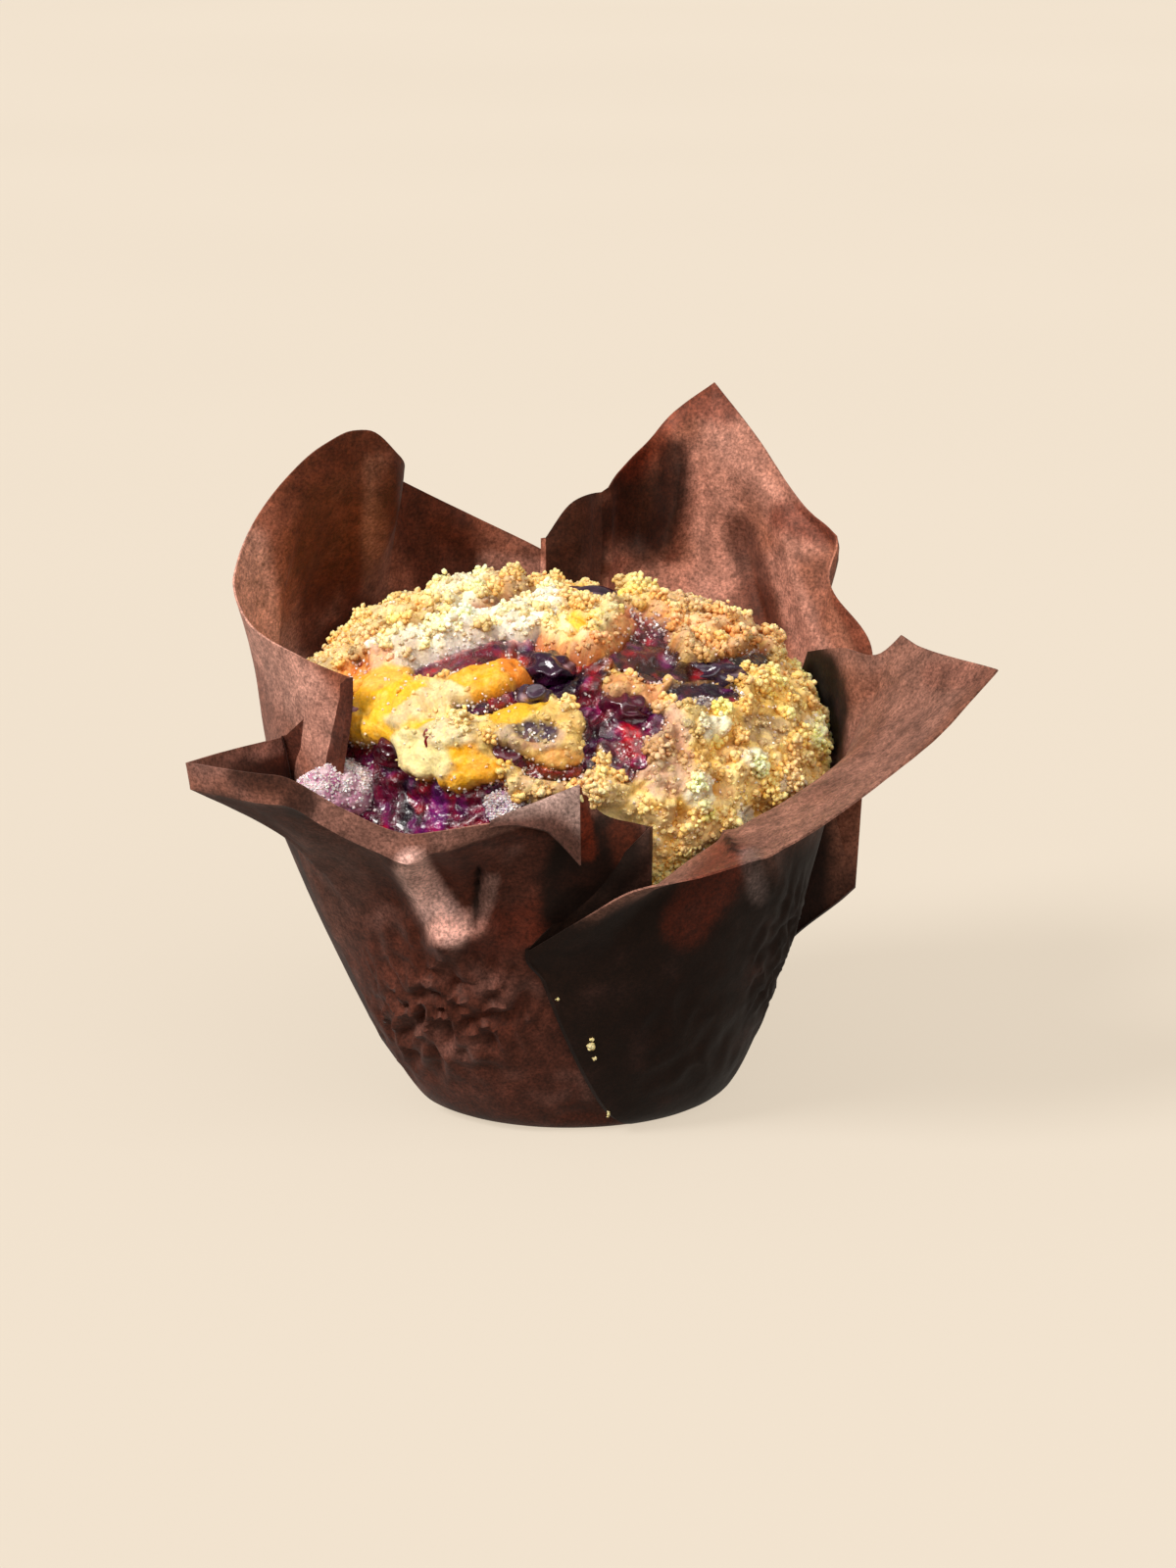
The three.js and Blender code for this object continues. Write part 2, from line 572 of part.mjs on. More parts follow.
function muffinSolid() {
  let solid = muffinBody(53, 5, 17);
  const domeCentre = wallCentre(SHOULDER_HEIGHT);
  for (const patch of streusel) {
    const next = draws(patch.seed);
    for (let i = 0; i < patch.count; i++) {
      const angle = i * 2.39996 + next();
      const far = patch.spread * Math.sqrt((i + 0.5) / patch.count);
      const x = patch.x + far * Math.cos(angle);
      const y = patch.y + far * Math.sin(angle);
      const size = patch.size * (0.75 + 0.5 * next());
      if (Math.hypot(x - domeCentre, y) > 38) continue;
      if (berries.some((b) => Math.hypot(x - b.x, y - b.y) < Math.max(...b.size) + size)) continue;
      const lump = lumpGeometry(0, [size, size * 0.9, size * 0.7], 0.12, patch.seed + i);
      solid = solid.add(fromGeometry(placed(lump, x, y, crustHeight(x, y), 60 * next(), [1, 1, 1])));
    }
  }
  for (const b of berries) {
    solid = solid.subtract(fromGeometry(berryGeometry(b, 0.55)));
  }
  return solid;
}

function largestPart(solid) {
  const parts = solid.decompose();
  return parts.reduce((best, part) => (part.volume() > best.volume() ? part : best));
}

function toMesh(name, solid, look) {
  const mesh = solid.getMesh();
  const stride = mesh.numProp;
  const positions = new Float32Array((mesh.vertProperties.length / stride) * 3);
  for (let i = 0; i < positions.length / 3; i++) {
    positions[3 * i] = mesh.vertProperties[stride * i];
    positions[3 * i + 1] = mesh.vertProperties[stride * i + 1];
    positions[3 * i + 2] = mesh.vertProperties[stride * i + 2];
  }
  const geometry = new THREE.BufferGeometry();
  geometry.setAttribute("position", new THREE.BufferAttribute(positions, 3));
  geometry.setIndex(new THREE.BufferAttribute(new Uint32Array(mesh.triVerts), 1));
  geometry.computeVertexNormals();
  const made = new THREE.Mesh(geometry, new THREE.MeshStandardMaterial(look));
  made.name = name;
  return made;
}

const paperLook = { color: 0x3b2020, roughness: 0.75, metalness: 0 };
const crustLook = { color: 0xd9a04e, roughness: 0.8, metalness: 0 };
const berryLook = { color: 0x4a1230, roughness: 0.25, metalness: 0 };

const muffinGroup = new THREE.Group();
muffinGroup.add(toMesh("paper_case", largestPart(paperCase()), paperLook));
muffinGroup.add(toMesh("muffin", largestPart(muffinSolid()), crustLook));
for (const b of berries) {
  muffinGroup.add(toMesh(b.name, fromGeometry(berryGeometry(b, 0)), berryLook));
}

export default muffinGroup;
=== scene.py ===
"""A streusel berry muffin in its tulip-folded paper case.

Forms are worked out in millimetres (origin at the middle of the base, +Z up,
-Y towards the viewer) and turned into metres when a mesh is made.
"""
import math

import bmesh
import bpy
import numpy as np
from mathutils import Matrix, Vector


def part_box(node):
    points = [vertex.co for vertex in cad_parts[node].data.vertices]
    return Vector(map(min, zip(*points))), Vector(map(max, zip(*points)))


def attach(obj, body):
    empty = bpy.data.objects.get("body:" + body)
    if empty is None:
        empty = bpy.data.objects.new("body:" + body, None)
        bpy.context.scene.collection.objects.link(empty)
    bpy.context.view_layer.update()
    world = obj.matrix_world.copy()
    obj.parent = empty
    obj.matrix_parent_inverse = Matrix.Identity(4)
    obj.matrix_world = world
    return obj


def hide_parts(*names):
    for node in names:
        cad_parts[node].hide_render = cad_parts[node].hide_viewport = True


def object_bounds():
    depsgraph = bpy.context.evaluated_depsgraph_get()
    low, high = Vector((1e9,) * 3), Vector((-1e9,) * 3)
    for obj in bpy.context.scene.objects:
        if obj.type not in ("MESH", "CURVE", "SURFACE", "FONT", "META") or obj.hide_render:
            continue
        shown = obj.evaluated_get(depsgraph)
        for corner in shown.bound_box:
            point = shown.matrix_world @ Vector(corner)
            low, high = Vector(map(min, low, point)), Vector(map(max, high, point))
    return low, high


MM = 0.001

# The photograph's camera
LOOK_AT = np.array([3.0, 0.0, 54.0])
ELEVATION = math.radians(13.0)
DISTANCE = 800.0
LENS = 108.0
SENSOR = 36.0
PHOTO_WIDTH = 1200
PHOTO_HEIGHT = 1600
BACK = np.array([0.0, -math.cos(ELEVATION), math.sin(ELEVATION)])
UP = np.array([0.0, math.sin(ELEVATION), math.cos(ELEVATION)])

# Sizes of the paper case
SHEET = 0.34
BASE_RADIUS = 25.0
FLARE = 1.47
FLARE_POWER = 0.7
CORNER_CUT = 3.0
CORNER_HEIGHT = 1.2
WALL_LEAN = 0.06
PLEAT_PITCH = 1.0
PLEAT_RISE = 2.6
FOLD_BULGE = 0.6
FLOOR = 0.5
FLOOR_RADIUS = 22.4
FLOOR_LAP = 1.4
WALL_FOOT = 0.25
COLUMN_STEP = 1.1
WALL_STEPS = 47
PETAL_STEPS = 30
BRIM_STEPS = 5

# Sizes of the muffin
SHOULDER_HEIGHT = 51.0
DOME_RISE = 34.0
DOME_POWER = 2.6
CLEARANCE = 0.9
CRUST_CELLS = 288
CAKE_INSET = 2 * PLEAT_PITCH + SHEET / 2 + CLEARANCE

PLAIN = {"brim": 2.0, "start": 71.0}
KEYS = ("x", "y", "height", "lean", "leave", "under", "base", "brim", "start")


def place(azimuth, reach, height, lean, leave, under=0.0, **more):
    """A place on a petal's free edge.

    It has an azimuth, a distance from the axis and a height. lean is the slope of the petal
    there, leave the height at which it parts from the wall, and under the number of layers
    of paper over it. brim is the width of the edge that turns up and start the slope of the
    petal where it parts from the wall.
    """
    return dict(azimuth=azimuth, reach=reach, height=height, lean=lean, leave=leave, under=under, **more)


PETALS = {
    "right_front": dict(base=(298, 377), edge=[
        place(261.3, 43.2, 36.1, 70, 30),
        place(273.5, 48.6, 43.4, 58, 34),
        place(280.2, 52.3, 47.9, 40, 40),
        place(290.4, 61.9, 52.6, 10, 47),
        place(299.4, 68.9, 57.6, 8, 51),
        place(309.6, 72.7, 65.0, 18, 54),
        place(319.0, 76.2, 72.4, 28, 56),
        place(329.8, 79.5, 82.1, 34, 57, tip=True),
        place(339.1, 61.8, 82.0, 52, 58, 0.4),
        place(344.0, 57.9, 82.5, 62, 58, 0.8, tip=True),
        place(345.0, 54.6, 79.0, 66, 58, 1.2),
        place(352.8, 47.7, 78.5, 82, 58, 2),
        place(365.5, 42.6, 76.3, 93, 56, 2, tip=True),
        place(374.3, 42.4, 70.3, 92, 50, 2),
    ]),
    "back_right": dict(base=(17, 102), edge=[
        place(9.2, 49.8, 33.9, 42, 20),
        place(10.2, 51.0, 50.2, 75, 28),
        place(13.3, 52.3, 62.5, 80, 38),
        place(17.2, 54.1, 74.6, 82, 46),
        place(28.2, 50.7, 85.1, 90, 53),
        place(31.2, 54.0, 91.8, 84, 55, tip=True),
        place(39.8, 53.1, 96.3, 88, 57),
        place(51.6, 53.6, 106.4, 86, 58),
        place(62.9, 56.2, 115.6, 80, 58, 0.3, tip=True),
        place(69.5, 53.4, 110.4, 84, 58, 1),
        place(75.9, 51.6, 103.3, 88, 58, 1.6),
        place(83.0, 46.3, 97.5, 100, 58, 2, tip=True),
        place(89.6, 50.0, 94.5, 90, 58, 2),
        place(95.4, 50.2, 87.8, 88, 58, 2),
    ]),
    "back_left": dict(base=(102, 212), edge=[
        place(80.0, 54.5, 76.0, 86, 54),
        place(95.3, 54.2, 84.7, 88, 57),
        place(110.1, 52.2, 92.0, 90, 58),
        place(127.5, 50.4, 100.0, 92, 58, tip=True),
        place(143.9, 36.9, 107.2, 104, 58),
        place(153.5, 38.0, 112.0, 102, 58),
        place(159.0, 39.6, 112.4, 100, 58),
        place(164.0, 43.6, 110.2, 96, 58),
        place(169.5, 49.3, 104.8, 88, 50, 0.2, start=80),
        place(174.7, 54.6, 97.1, 80, 48, 0.3, start=80),
        place(182.0, 56.8, 89.9, 74, 47, 0.4, start=79),
        place(194.5, 56.0, 83.9, 70, 49, 1.4, start=78),
        place(211.9, 52.9, 81.0, 82, 50, 2, start=76),
        place(222.4, 49.7, 79.2, 90, 50, 2, start=74),
    ]),
    "left_front": dict(base=(212, 298), edge=[
        place(205.0, 52.6, 67.0, 76, 45),
        place(210.4, 63.1, 67.3, 45, 42, brim=3),
        place(216.3, 76.1, 67.9, 28, 38, brim=4.5, tip=True),
        place(229.9, 71.9, 68.1, 24, 40, brim=5),
        place(238.3, 68.1, 63.4, 18, 43, brim=5),
        place(247.7, 62.7, 58.7, 22, 46, 0.6, brim=4),
        place(257.4, 57.4, 59.2, 45, 47, 1.6, brim=2.5, tip=True),
        place(266.4, 51.9, 62.9, 84, 46, 2),
        place(272.1, 48.6, 65.0, 105, 45, 2, tip=True),
        place(276.1, 48.0, 60.4, 99, 45, 2),
        place(285.7, 48.6, 57.4, 90, 46, 2),
    ]),
}


# Corner of the left front petal that is folded down over its outside: from and
# to which edge place, how far it hangs there, and how far it stands off
TURNED = dict(petal="left_front", start=6, end=8, hang=11.2, stand_off=3.6)


def clamp(x, lo=0.0, hi=1.0):
    return np.minimum(hi, np.maximum(lo, x))


def mix(a, b, t):
    return a + (b - a) * t


def paint(under, colour, share):
    """The colours with that share of another colour laid over each."""
    return mix(under, colour, share[..., None])


def smooth(t):
    u = clamp(t)
    return u * u * (3 - 2 * u)


def linear(*values):
    """A linear colour from the eight-bit values that the eye sees."""
    return np.array([((c / 255 + 0.055) / 1.055) ** 2.4 if c > 10 else c / 255 / 12.92 for c in values])


def unit(v):
    return v / np.maximum(np.linalg.norm(v, axis=-1, keepdims=True), 1e-9)


def project(points):
    """Photo coordinates of points."""
    rel = points - LOOK_AT
    depth = DISTANCE - rel @ BACK
    scale = LENS / SENSOR * PHOTO_HEIGHT / depth
    return PHOTO_WIDTH / 2 + scale * rel[..., 0], PHOTO_HEIGHT / 2 - scale * (rel @ UP)


# Noise

GRADIENTS = unit(np.random.default_rng(7).normal(size=(4096, 3)))
SCATTER = np.random.default_rng(11).random((4096, 3))


def cell_hash(cell, seed):
    n = cell[..., 0] * 73856093 ^ cell[..., 1] * 19349663 ^ cell[..., 2] * 83492791 ^ seed * 2654435
    return (n ^ n >> 13) & 4095


def noise(points, pitch, seed=0):
    """Smooth gradient noise, about -1 to 1."""
    q = np.asarray(points) / pitch + 0.37 * seed
    cell = np.floor(q).astype(np.int64)
    f = q - cell
    u = f * f * f * (f * (6 * f - 15) + 10)
    total = 0.0
    for corner in np.ndindex(2, 2, 2):
        c = np.array(corner)
        weight = np.prod(np.where(c == 1, u, 1 - u), axis=-1)
        total = total + weight * np.sum(GRADIENTS[cell_hash(cell + c, seed)] * (f - c), axis=-1)
    return 1.6 * total


def rough(points, pitch, octaves=3, seed=0):
    total = 0.0
    for k in range(octaves):
        total = total + noise(points, pitch / 2 ** k, seed + k) / 2 ** k
    return total


def patches(points, pitch, seed, low, width):
    """Soft-edged patches, 1 where the noise is over low by the width."""
    return smooth((noise(points, pitch, seed) - low) / width)


def creased(points, pitch, seed=0):
    """Sharp ridges, 0 in the creases and about 1 between them."""
    return 2.2 * np.abs(noise(points, pitch, seed))


def granules(points, pitch, seed=0):
    """Rounded grains packed together: 1 on top of each, 0 or less between, and a number for each."""
    q = np.asarray(points) / pitch
    cell = np.floor(q).astype(np.int64)
    nearest = np.full(q.shape[:-1], 9.0)
    number = np.zeros(q.shape[:-1])
    for step in np.ndindex(3, 3, 3):
        c = cell + np.array(step) - 1
        draw = cell_hash(c, seed)
        d = np.linalg.norm(q - c - 0.15 - 0.7 * SCATTER[draw], axis=-1)
        closer = d < nearest
        nearest = np.where(closer, d, nearest)
        number = np.where(closer, SCATTER[draw, 0], number)
    return 1 - (nearest / 0.72) ** 2, number


# Paper case

def wall_radius(z):
    return BASE_RADIUS + FLARE * z ** FLARE_POWER - CORNER_CUT * np.exp(-z / CORNER_HEIGHT)


def wall_centre(z):
    return -WALL_LEAN * np.minimum(z, SHOULDER_HEIGHT)


def wall_normal(z):
    slope = (wall_radius(z + 0.05) - wall_radius(z - 0.05)) / 0.1
    length = np.hypot(1, slope)
    return 1 / length, -slope / length


def wall_point(angle, z, inset):
    nr, nz = wall_normal(z)
    r = wall_radius(z) - nr * inset
    return np.stack([wall_centre(z) + r * np.cos(angle), r * np.sin(angle), z - nz * inset], axis=-1)


def run_along(edge, key, i, t):
    """Smooth run of a named quantity along a petal's edge, with corners at tips."""
    def value(j):
        return edge[j].get(key, PLAIN.get(key))

    def span(j):
        return edge[j + 1]["s"] - edge[j]["s"]

    def slope(j):
        return (value(j + 1) - value(j)) / span(j)

    def tangent(j, side):
        if j == 0 or j == len(edge) - 1 or edge[j].get("tip"):
            return slope(j if side > 0 else j - 1)
        a, b = slope(j - 1), slope(j)
        if a * b <= 0 and key not in ("x", "y"):
            return 0.0
        return (a * span(j) + b * span(j - 1)) / (span(j) + span(j - 1))

    h = span(i)
    m0, m1 = tangent(i, 1) * h, tangent(i + 1, -1) * h
    t2, t3 = t * t, t * t * t
    return ((2 * t3 - 3 * t2 + 1) * value(i) + (t3 - 2 * t2 + t) * m0
            + (3 * t2 - 2 * t3) * value(i + 1) + (t3 - t2) * m1)


def turn_near(angle, target):
    return angle + 360 * round((target - angle) / 360)


def prepare(petal):
    """Adds to each edge place its position, run length and azimuth at the base."""
    edge = petal["edge"]
    s = 0.0
    for i, e in enumerate(edge):
        e["x"] = e["reach"] * math.cos(math.radians(e["azimuth"]))
        e["y"] = e["reach"] * math.sin(math.radians(e["azimuth"]))
        if i:
            p = edge[i - 1]
            s += math.dist((e["x"], e["y"], e["height"]), (p["x"], p["y"], p["height"]))
        e["s"] = s
    start, end = petal["base"]
    far = 0.0
    for e in edge:
        far = max(far, (e["azimuth"] - edge[0]["azimuth"]) / (edge[-1]["azimuth"] - edge[0]["azimuth"]))
        e["base"] = mix(start, end, 0.35 * e["s"] / s + 0.65 * far)


def rib(at, layer, shift):
    """One rib of the sheet, from the edge of the base up the wall and out to the rim."""
    base, leave, brim = at["base"], at["leave"], at["brim"]
    lean, start_lean = math.radians(at["lean"]), math.radians(at["start"])
    centre = wall_centre(leave)
    heading = math.atan2(at["y"], at["x"] - centre)
    rim_turn = turn_near(math.degrees(heading), base)
    share = clamp((leave / at["height"]) ** 0.6, 0.4, 0.94)
    leave_turn = math.radians(mix(base, rim_turn, share))
    base = math.radians(base)
    r_low, r_leave = wall_radius(WALL_FOOT), wall_radius(leave)

    def on_wall(z):
        u = (wall_radius(z) - r_low) / (r_leave - r_low)
        angle = np.arctan2(
            mix(r_low * math.sin(base), r_leave * math.sin(leave_turn), u),
            mix(r_low * math.cos(base), r_leave * math.cos(leave_turn), u))
        p = wall_point(angle, z, layer * PLEAT_PITCH * smooth(z / PLEAT_RISE))
        side = shift * smooth(z / PLEAT_RISE)
        p[..., 0] -= side * np.sin(angle)
        p[..., 1] += side * np.cos(angle)
        return p

    foot_radius = FLOOR_RADIUS - FLOOR_LAP
    foot_x = wall_centre(WALL_FOOT) + foot_radius * math.cos(base)
    foot = [foot_x, foot_radius * math.sin(base), FLOOR / 2]
    wall = on_wall(WALL_FOOT + (leave - WALL_FOOT) * np.linspace(0, 1, WALL_STEPS) ** 1.2)
    first = wall[-1]
    drift = unit(first - on_wall(np.array([leave - 1.5]))[0])
    out = np.array([math.cos(heading), math.sin(heading), 0.0])
    around = np.array([-out[1], out[0], 0.0])
    along = out * math.cos(start_lean) + around * (drift @ around)
    along[2] = math.sin(start_lean)
    along = unit(along)
    end = out * math.cos(lean)
    end[2] = math.sin(lean)
    face = np.cross(around, end)
    rim = np.array([at["x"], at["y"], at["height"]]) - face * layer * PLEAT_PITCH + around * shift
    upturn = math.radians(mix(at["lean"], max(at["lean"], 80), clamp((brim - 2) / 1.5)))
    rise = out * math.cos(upturn)
    rise[2] = math.sin(upturn)
    bend = rim - brim * rise
    reach = np.linalg.norm(bend - first)
    b1, b2 = first + along * 0.34 * reach, bend - end * 0.3 * reach
    t = np.linspace(0, 1, PETAL_STEPS + 1)[1:, None]
    u = 1 - t
    petal = u ** 3 * first + 3 * u * u * t * b1 + 3 * u * t * t * b2 + t ** 3 * bend
    t = np.linspace(0, 1, BRIM_STEPS + 1)[1:, None]
    return np.concatenate([[foot], wall, petal, mix(bend, rim, t)])


def place_at(edge, i, t):
    return {key: run_along(edge, key, i, t) for key in KEYS}


def petal_grid(petal):
    edge = petal["edge"]
    columns = []
    for i in range(len(edge) - 1):
        steps = max(2, round((edge[i + 1]["s"] - edge[i]["s"]) / COLUMN_STEP))
        for j in range(steps):
            at = place_at(edge, i, j / steps)
            columns.append(rib(at, clamp(at["under"], 0, 2), 0))
    columns.append(rib(place_at(edge, len(edge) - 2, 1), 2, 0))
    return np.array(columns)


def fold_grid(before, after):
    """The turned-back layer of a pleat, from the inner crease to the outer one."""
    inner = place_at(before["edge"], len(before["edge"]) - 2, 1)
    outer = place_at(after["edge"], 0, 0)
    outer["base"] = turn_near(outer["base"], inner["base"])
    columns = [rib(inner, 2, -0.2), rib(inner, 1.5, FOLD_BULGE), rib(inner, 1, 0)]
    for t in np.linspace(0, 1, 9)[1:-1]:
        columns.append(rib({key: mix(inner[key], outer[key], t) for key in KEYS}, 1, 0))
    columns += [rib(outer, 1, 0), rib(outer, 0.5, -FOLD_BULGE), rib(outer, 0, 0.2)]
    return np.array(columns)[:, 2:]


def turned_grid():
    """The folded-down corner, from its fold line to its free edge."""
    edge = PETALS[TURNED["petal"]]["edge"]
    columns = []
    for along in np.linspace(0, 1, 26):
        at = TURNED["start"] + along * (TURNED["end"] - TURNED["start"])
        j = min(int(at), TURNED["end"] - 1)
        spot = place_at(edge, j, at - j)
        fold = rib(spot, clamp(spot["under"], 0, 2), 0)[-1]
        out = unit(np.array([spot["x"], spot["y"], 0.0]))
        hang = 0.8 + TURNED["hang"] * along ** 1.5
        stand = 1.0 + TURNED["stand_off"] * along
        down = np.linspace(0, 1, 15)[:, None]
        roll = np.sin(clamp(down * 4) * math.pi / 2)
        over = fold + out * (FOLD_BULGE * roll + stand * down - 0.5 * np.sin(math.pi * down))
        over[:, 2] += 0.15 + 0.35 * np.sin(math.pi * clamp(down[:, 0] * 4)) - hang * down[:, 0]
        columns.append(np.concatenate([[fold - out * 0.15], over]))
    return np.array(columns)


def grid_normals(grid):
    return unit(np.cross(np.gradient(grid, axis=0), np.gradient(grid, axis=1)))


def quads(ids):
    """The faces between the neighbours in a grid of vertex numbers."""
    return np.stack([ids[:-1, :-1], ids[1:, :-1], ids[1:, 1:], ids[:-1, 1:]], axis=-1).reshape(-1, 4)


def grid_solid(grid, thickness):
    """A sheet of even thickness, as vertices and quads."""
    cols, rows = grid.shape[:2]
    normal = grid_normals(grid)
    verts = np.concatenate([(grid + side * thickness * normal).reshape(-1, 3) for side in (0.5, -0.5)])
    front, back = np.arange(2 * cols * rows).reshape(2, cols, rows)
    rims = [(back[:, 0], front[:, 0]), (front[:, -1], back[:, -1])]
    rims += [(front[0], back[0]), (back[-1], front[-1])]
    faces = [quads(front), quads(back)[:, [0, 3, 2, 1]]]
    faces += [quads(np.stack(rim, axis=1)) for rim in rims]
    return verts, np.concatenate(faces)


def streak(px, py, line, width):
    """1 on a line drawn in the photo, falling to 0 at its width."""
    nearest = np.full(px.shape, 1e9)
    for (x0, y0), (x1, y1) in zip(line, line[1:]):
        dx, dy = x1 - x0, y1 - y0
        t = clamp(((px - x0) * dx + (py - y0) * dy) / (dx * dx + dy * dy))
        nearest = np.minimum(nearest, np.hypot(px - x0 - t * dx, py - y0 - t * dy))
    return clamp(1 - nearest / width)


def oval(px, py, at, size, turn=0.0):
    """Distance from the middle of an oval drawn in the photo, 1 at its edge."""
    c, s = math.cos(math.radians(turn)), math.sin(math.radians(turn))
    dx, dy = px - at[0], py - at[1]
    return np.hypot((c * dx + s * dy) / size[0], (c * dy - s * dx) / size[1])


def band(line, width, **more):
    """A streak drawn in the photo, and what it does there."""
    return dict(line=line, width=width, **more)


def spot(x, y, wide, high, **more):
    """An oval drawn in the photo, and what it does there."""
    return dict(at=(x, y), size=(wide, high), **more)


# Creases that show in the paper: a line in the photo, how wide the fold is
# there, and how far out the sheet moves on it in millimetres
CREASES = {
    "left_front": [
        band([(413, 872), (457, 953)], 26, out=2.2),
        band([(457, 953), (486, 944)], 28, out=2.4),
        band([(490, 888), (484, 944)], 10, out=-1.1),
        band([(440, 876), (470, 925)], 18, out=-0.8),
        band([(505, 890), (500, 938)], 14, out=1.6),
        band([(524, 846), (590, 852)], 14, out=0.8),
        band([(313, 848), (322, 880), (345, 950)], 26, out=0.7),
        band([(520, 905), (560, 925)], 24, out=0.8),
        band([(486, 944), (545, 975)], 26, out=0.7),
    ],
    "right_front": [
        band([(742, 852), (750, 866)], 12, out=-1.2),
        band([(780, 858), (792, 905)], 18, out=0.9),
        band([(800, 830), (880, 780), (950, 700)], 30, out=0.8),
        band([(815, 770), (870, 712)], 26, out=-0.9),
        band([(840, 735), (905, 700)], 22, out=0.8),
    ],
    "back_right": [
        band([(690, 440), (694, 500), (680, 552)], 22, out=-2.6),
        band([(658, 470), (652, 556)], 34, out=2.2),
        band([(616, 492), (614, 602)], 15, out=-2.4),
        band([(592, 500), (590, 600)], 20, out=1.4),
        band([(618, 568), (680, 562)], 14, out=-1.2),
        band([(750, 540), (764, 600), (782, 655)], 24, out=2.6),
        band([(806, 545), (822, 610), (846, 680)], 26, out=-2.0),
        band([(712, 420), (760, 480), (820, 522)], 34, out=-1.4),
        band([(724, 470), (744, 540)], 26, out=-1.2),
        band([(786, 486), (848, 556)], 14, out=1.3),
        band([(838, 540), (862, 600)], 14, out=1.0),
    ],
    "back_left": [
        band([(398, 470), (400, 560), (396, 660)], 20, out=-1.0),
        band([(340, 480), (330, 600), (350, 690)], 60, out=0.9),
        band([(440, 540), (520, 600)], 40, out=0.7),
        band([(480, 540), (500, 590)], 30, out=-0.7),
    ],
}

# Parts of the wall where the wet paper has wrinkled against the cake: an oval in
# the photo, and the spacing and depth of its wrinkles in millimetres
CRINKLES = [
    spot(468, 1030, 106, 88, pitch=4.8, depth=1.9, seed=3),
    spot(420, 985, 60, 78, pitch=4.2, depth=0.8, seed=5),
    spot(815, 1000, 66, 135, pitch=3.4, depth=0.95, seed=7),
    spot(700, 1060, 90, 80, pitch=6.0, depth=0.45, seed=9),
]


def paper_shift(points, normals, name, row_share):
    """How far each point of the sheet moves outwards from its smooth form."""
    px, py = project(points)
    z = points[..., 2]
    facing = smooth((np.abs(normals @ BACK) - 0.05) / 0.2)
    up_petal = smooth((z - 46) / 14)
    shift = 0.32 * rough(points, 26, 2, 1) + up_petal * 0.38 * (creased(points, 21, 4) - 0.5)
    shift += 0.16 * up_petal * (creased(points, 9, 8) - 0.5)
    shift += 0.05 * noise(points, 2.6, 6)
    front = points[..., 1] < 5 if name in ("left_front", "right_front") else True
    for crease in CREASES[name]:
        shift += np.where(front, crease["out"] * streak(px, py, crease["line"], crease["width"]) ** 1.3, 0)
    bent = points + 2.2 * np.stack([noise(points, 11, k) for k in (21, 22, 23)], axis=-1)
    wall = 1 - smooth((z - 50) / 10)
    slanted = bent @ np.array([[1, 0, 0.55], [0, 1, 0], [-0.55, 0, 0.6]])
    for c in CRINKLES:
        mask = smooth(1.6 * (1 - oval(px, py, c["at"], c["size"]))) * (points[..., 1] < 0)
        wrinkle = 0.95 - creased(slanted, c["pitch"], c["seed"])
        wrinkle += 0.4 * noise(bent, c["pitch"] * 0.5, c["seed"])
        shift += c["depth"] * mask * wall * np.maximum(wrinkle, -0.5)
    behind = (points[..., 1] > 4) * wall
    shift += 0.35 * behind * (0.6 - creased(slanted, 8.5, 31))
    calm = smooth((z - 1.0) / 9)
    edge = mix(1.0, 0.45, smooth((row_share - 0.85) / 0.15))
    return shift * calm * edge * mix(0.35, 1, facing)


def paper_parts():
    """Name, vertices, quads and share of the brim of each petal, each pleat and the floor."""
    names = list(PETALS)
    for name in names:
        prepare(PETALS[name])
    parts = []
    for i, name in enumerate(names):
        grid = petal_grid(PETALS[name])
        share = np.linspace(0, 1, grid.shape[1])[None, :]
        normal = grid_normals(grid)
        grid = grid + normal * paper_shift(grid, normal, name, share)[..., None]
        brim = smooth((np.arange(grid.shape[1]) - grid.shape[1] + BRIM_STEPS + 3) / 2)
        parts.append((name, *grid_solid(grid, SHEET), np.tile(brim, 2 * grid.shape[0])))
        grid = fold_grid(PETALS[names[i - 1]], PETALS[name])
        parts.append((name, *grid_solid(grid, SHEET), 0.0))
    parts.append(("turned", *grid_solid(turned_grid(), SHEET), 0.0))
    turns = 96
    rings = np.linspace(0.3, FLOOR_RADIUS, 14)
    angle = np.linspace(0, 2 * math.pi, turns + 1)
    disc = np.stack([
        rings[None, :] * np.cos(angle)[:, None],
        rings[None, :] * np.sin(angle)[:, None],
        np.full((turns + 1, len(rings)), FLOOR / 2)], axis=-1)
    parts.append(("floor", *grid_solid(disc[::-1], FLOOR), 0.0))
    return parts


# Colours of the dry paper and of the darker paper low on each part. The darker colour is oil soaked into the
# wall, and also painted shade on the faces that turn from the key light, darkest on the right front and back
# right walls
PAPER = {
    "left_front": dict(dry=linear(128, 87, 75), soaked_and_shaded=linear(76, 38, 28), pale_brim=True),
    "right_front": dict(dry=linear(124, 85, 72), soaked_and_shaded=linear(20, 8, 4)),
    "back_right": dict(dry=linear(142, 88, 68), soaked_and_shaded=linear(24, 9, 5)),
    "back_left": dict(dry=linear(136, 82, 64), soaked_and_shaded=linear(50, 22, 14)),
    # The turned corner's pale grey is painted highlight of its lit face
    "turned": dict(dry=linear(158, 130, 121), soaked_and_shaded=linear(158, 130, 121)),
    "floor": dict(dry=linear(50, 26, 19), soaked_and_shaded=linear(50, 26, 19)),
}
# Colours laid on the paper as marks: a pale mauve of painted highlight, a dark brown and a near-black of
# painted shade, and a russet
HIGHLIGHT_MAUVE = linear(182, 132, 116)
RUSSET = linear(92, 32, 15)
SHADE_BROWN = linear(32, 9, 3)
SHADE_BLACK = linear(11, 5, 3)
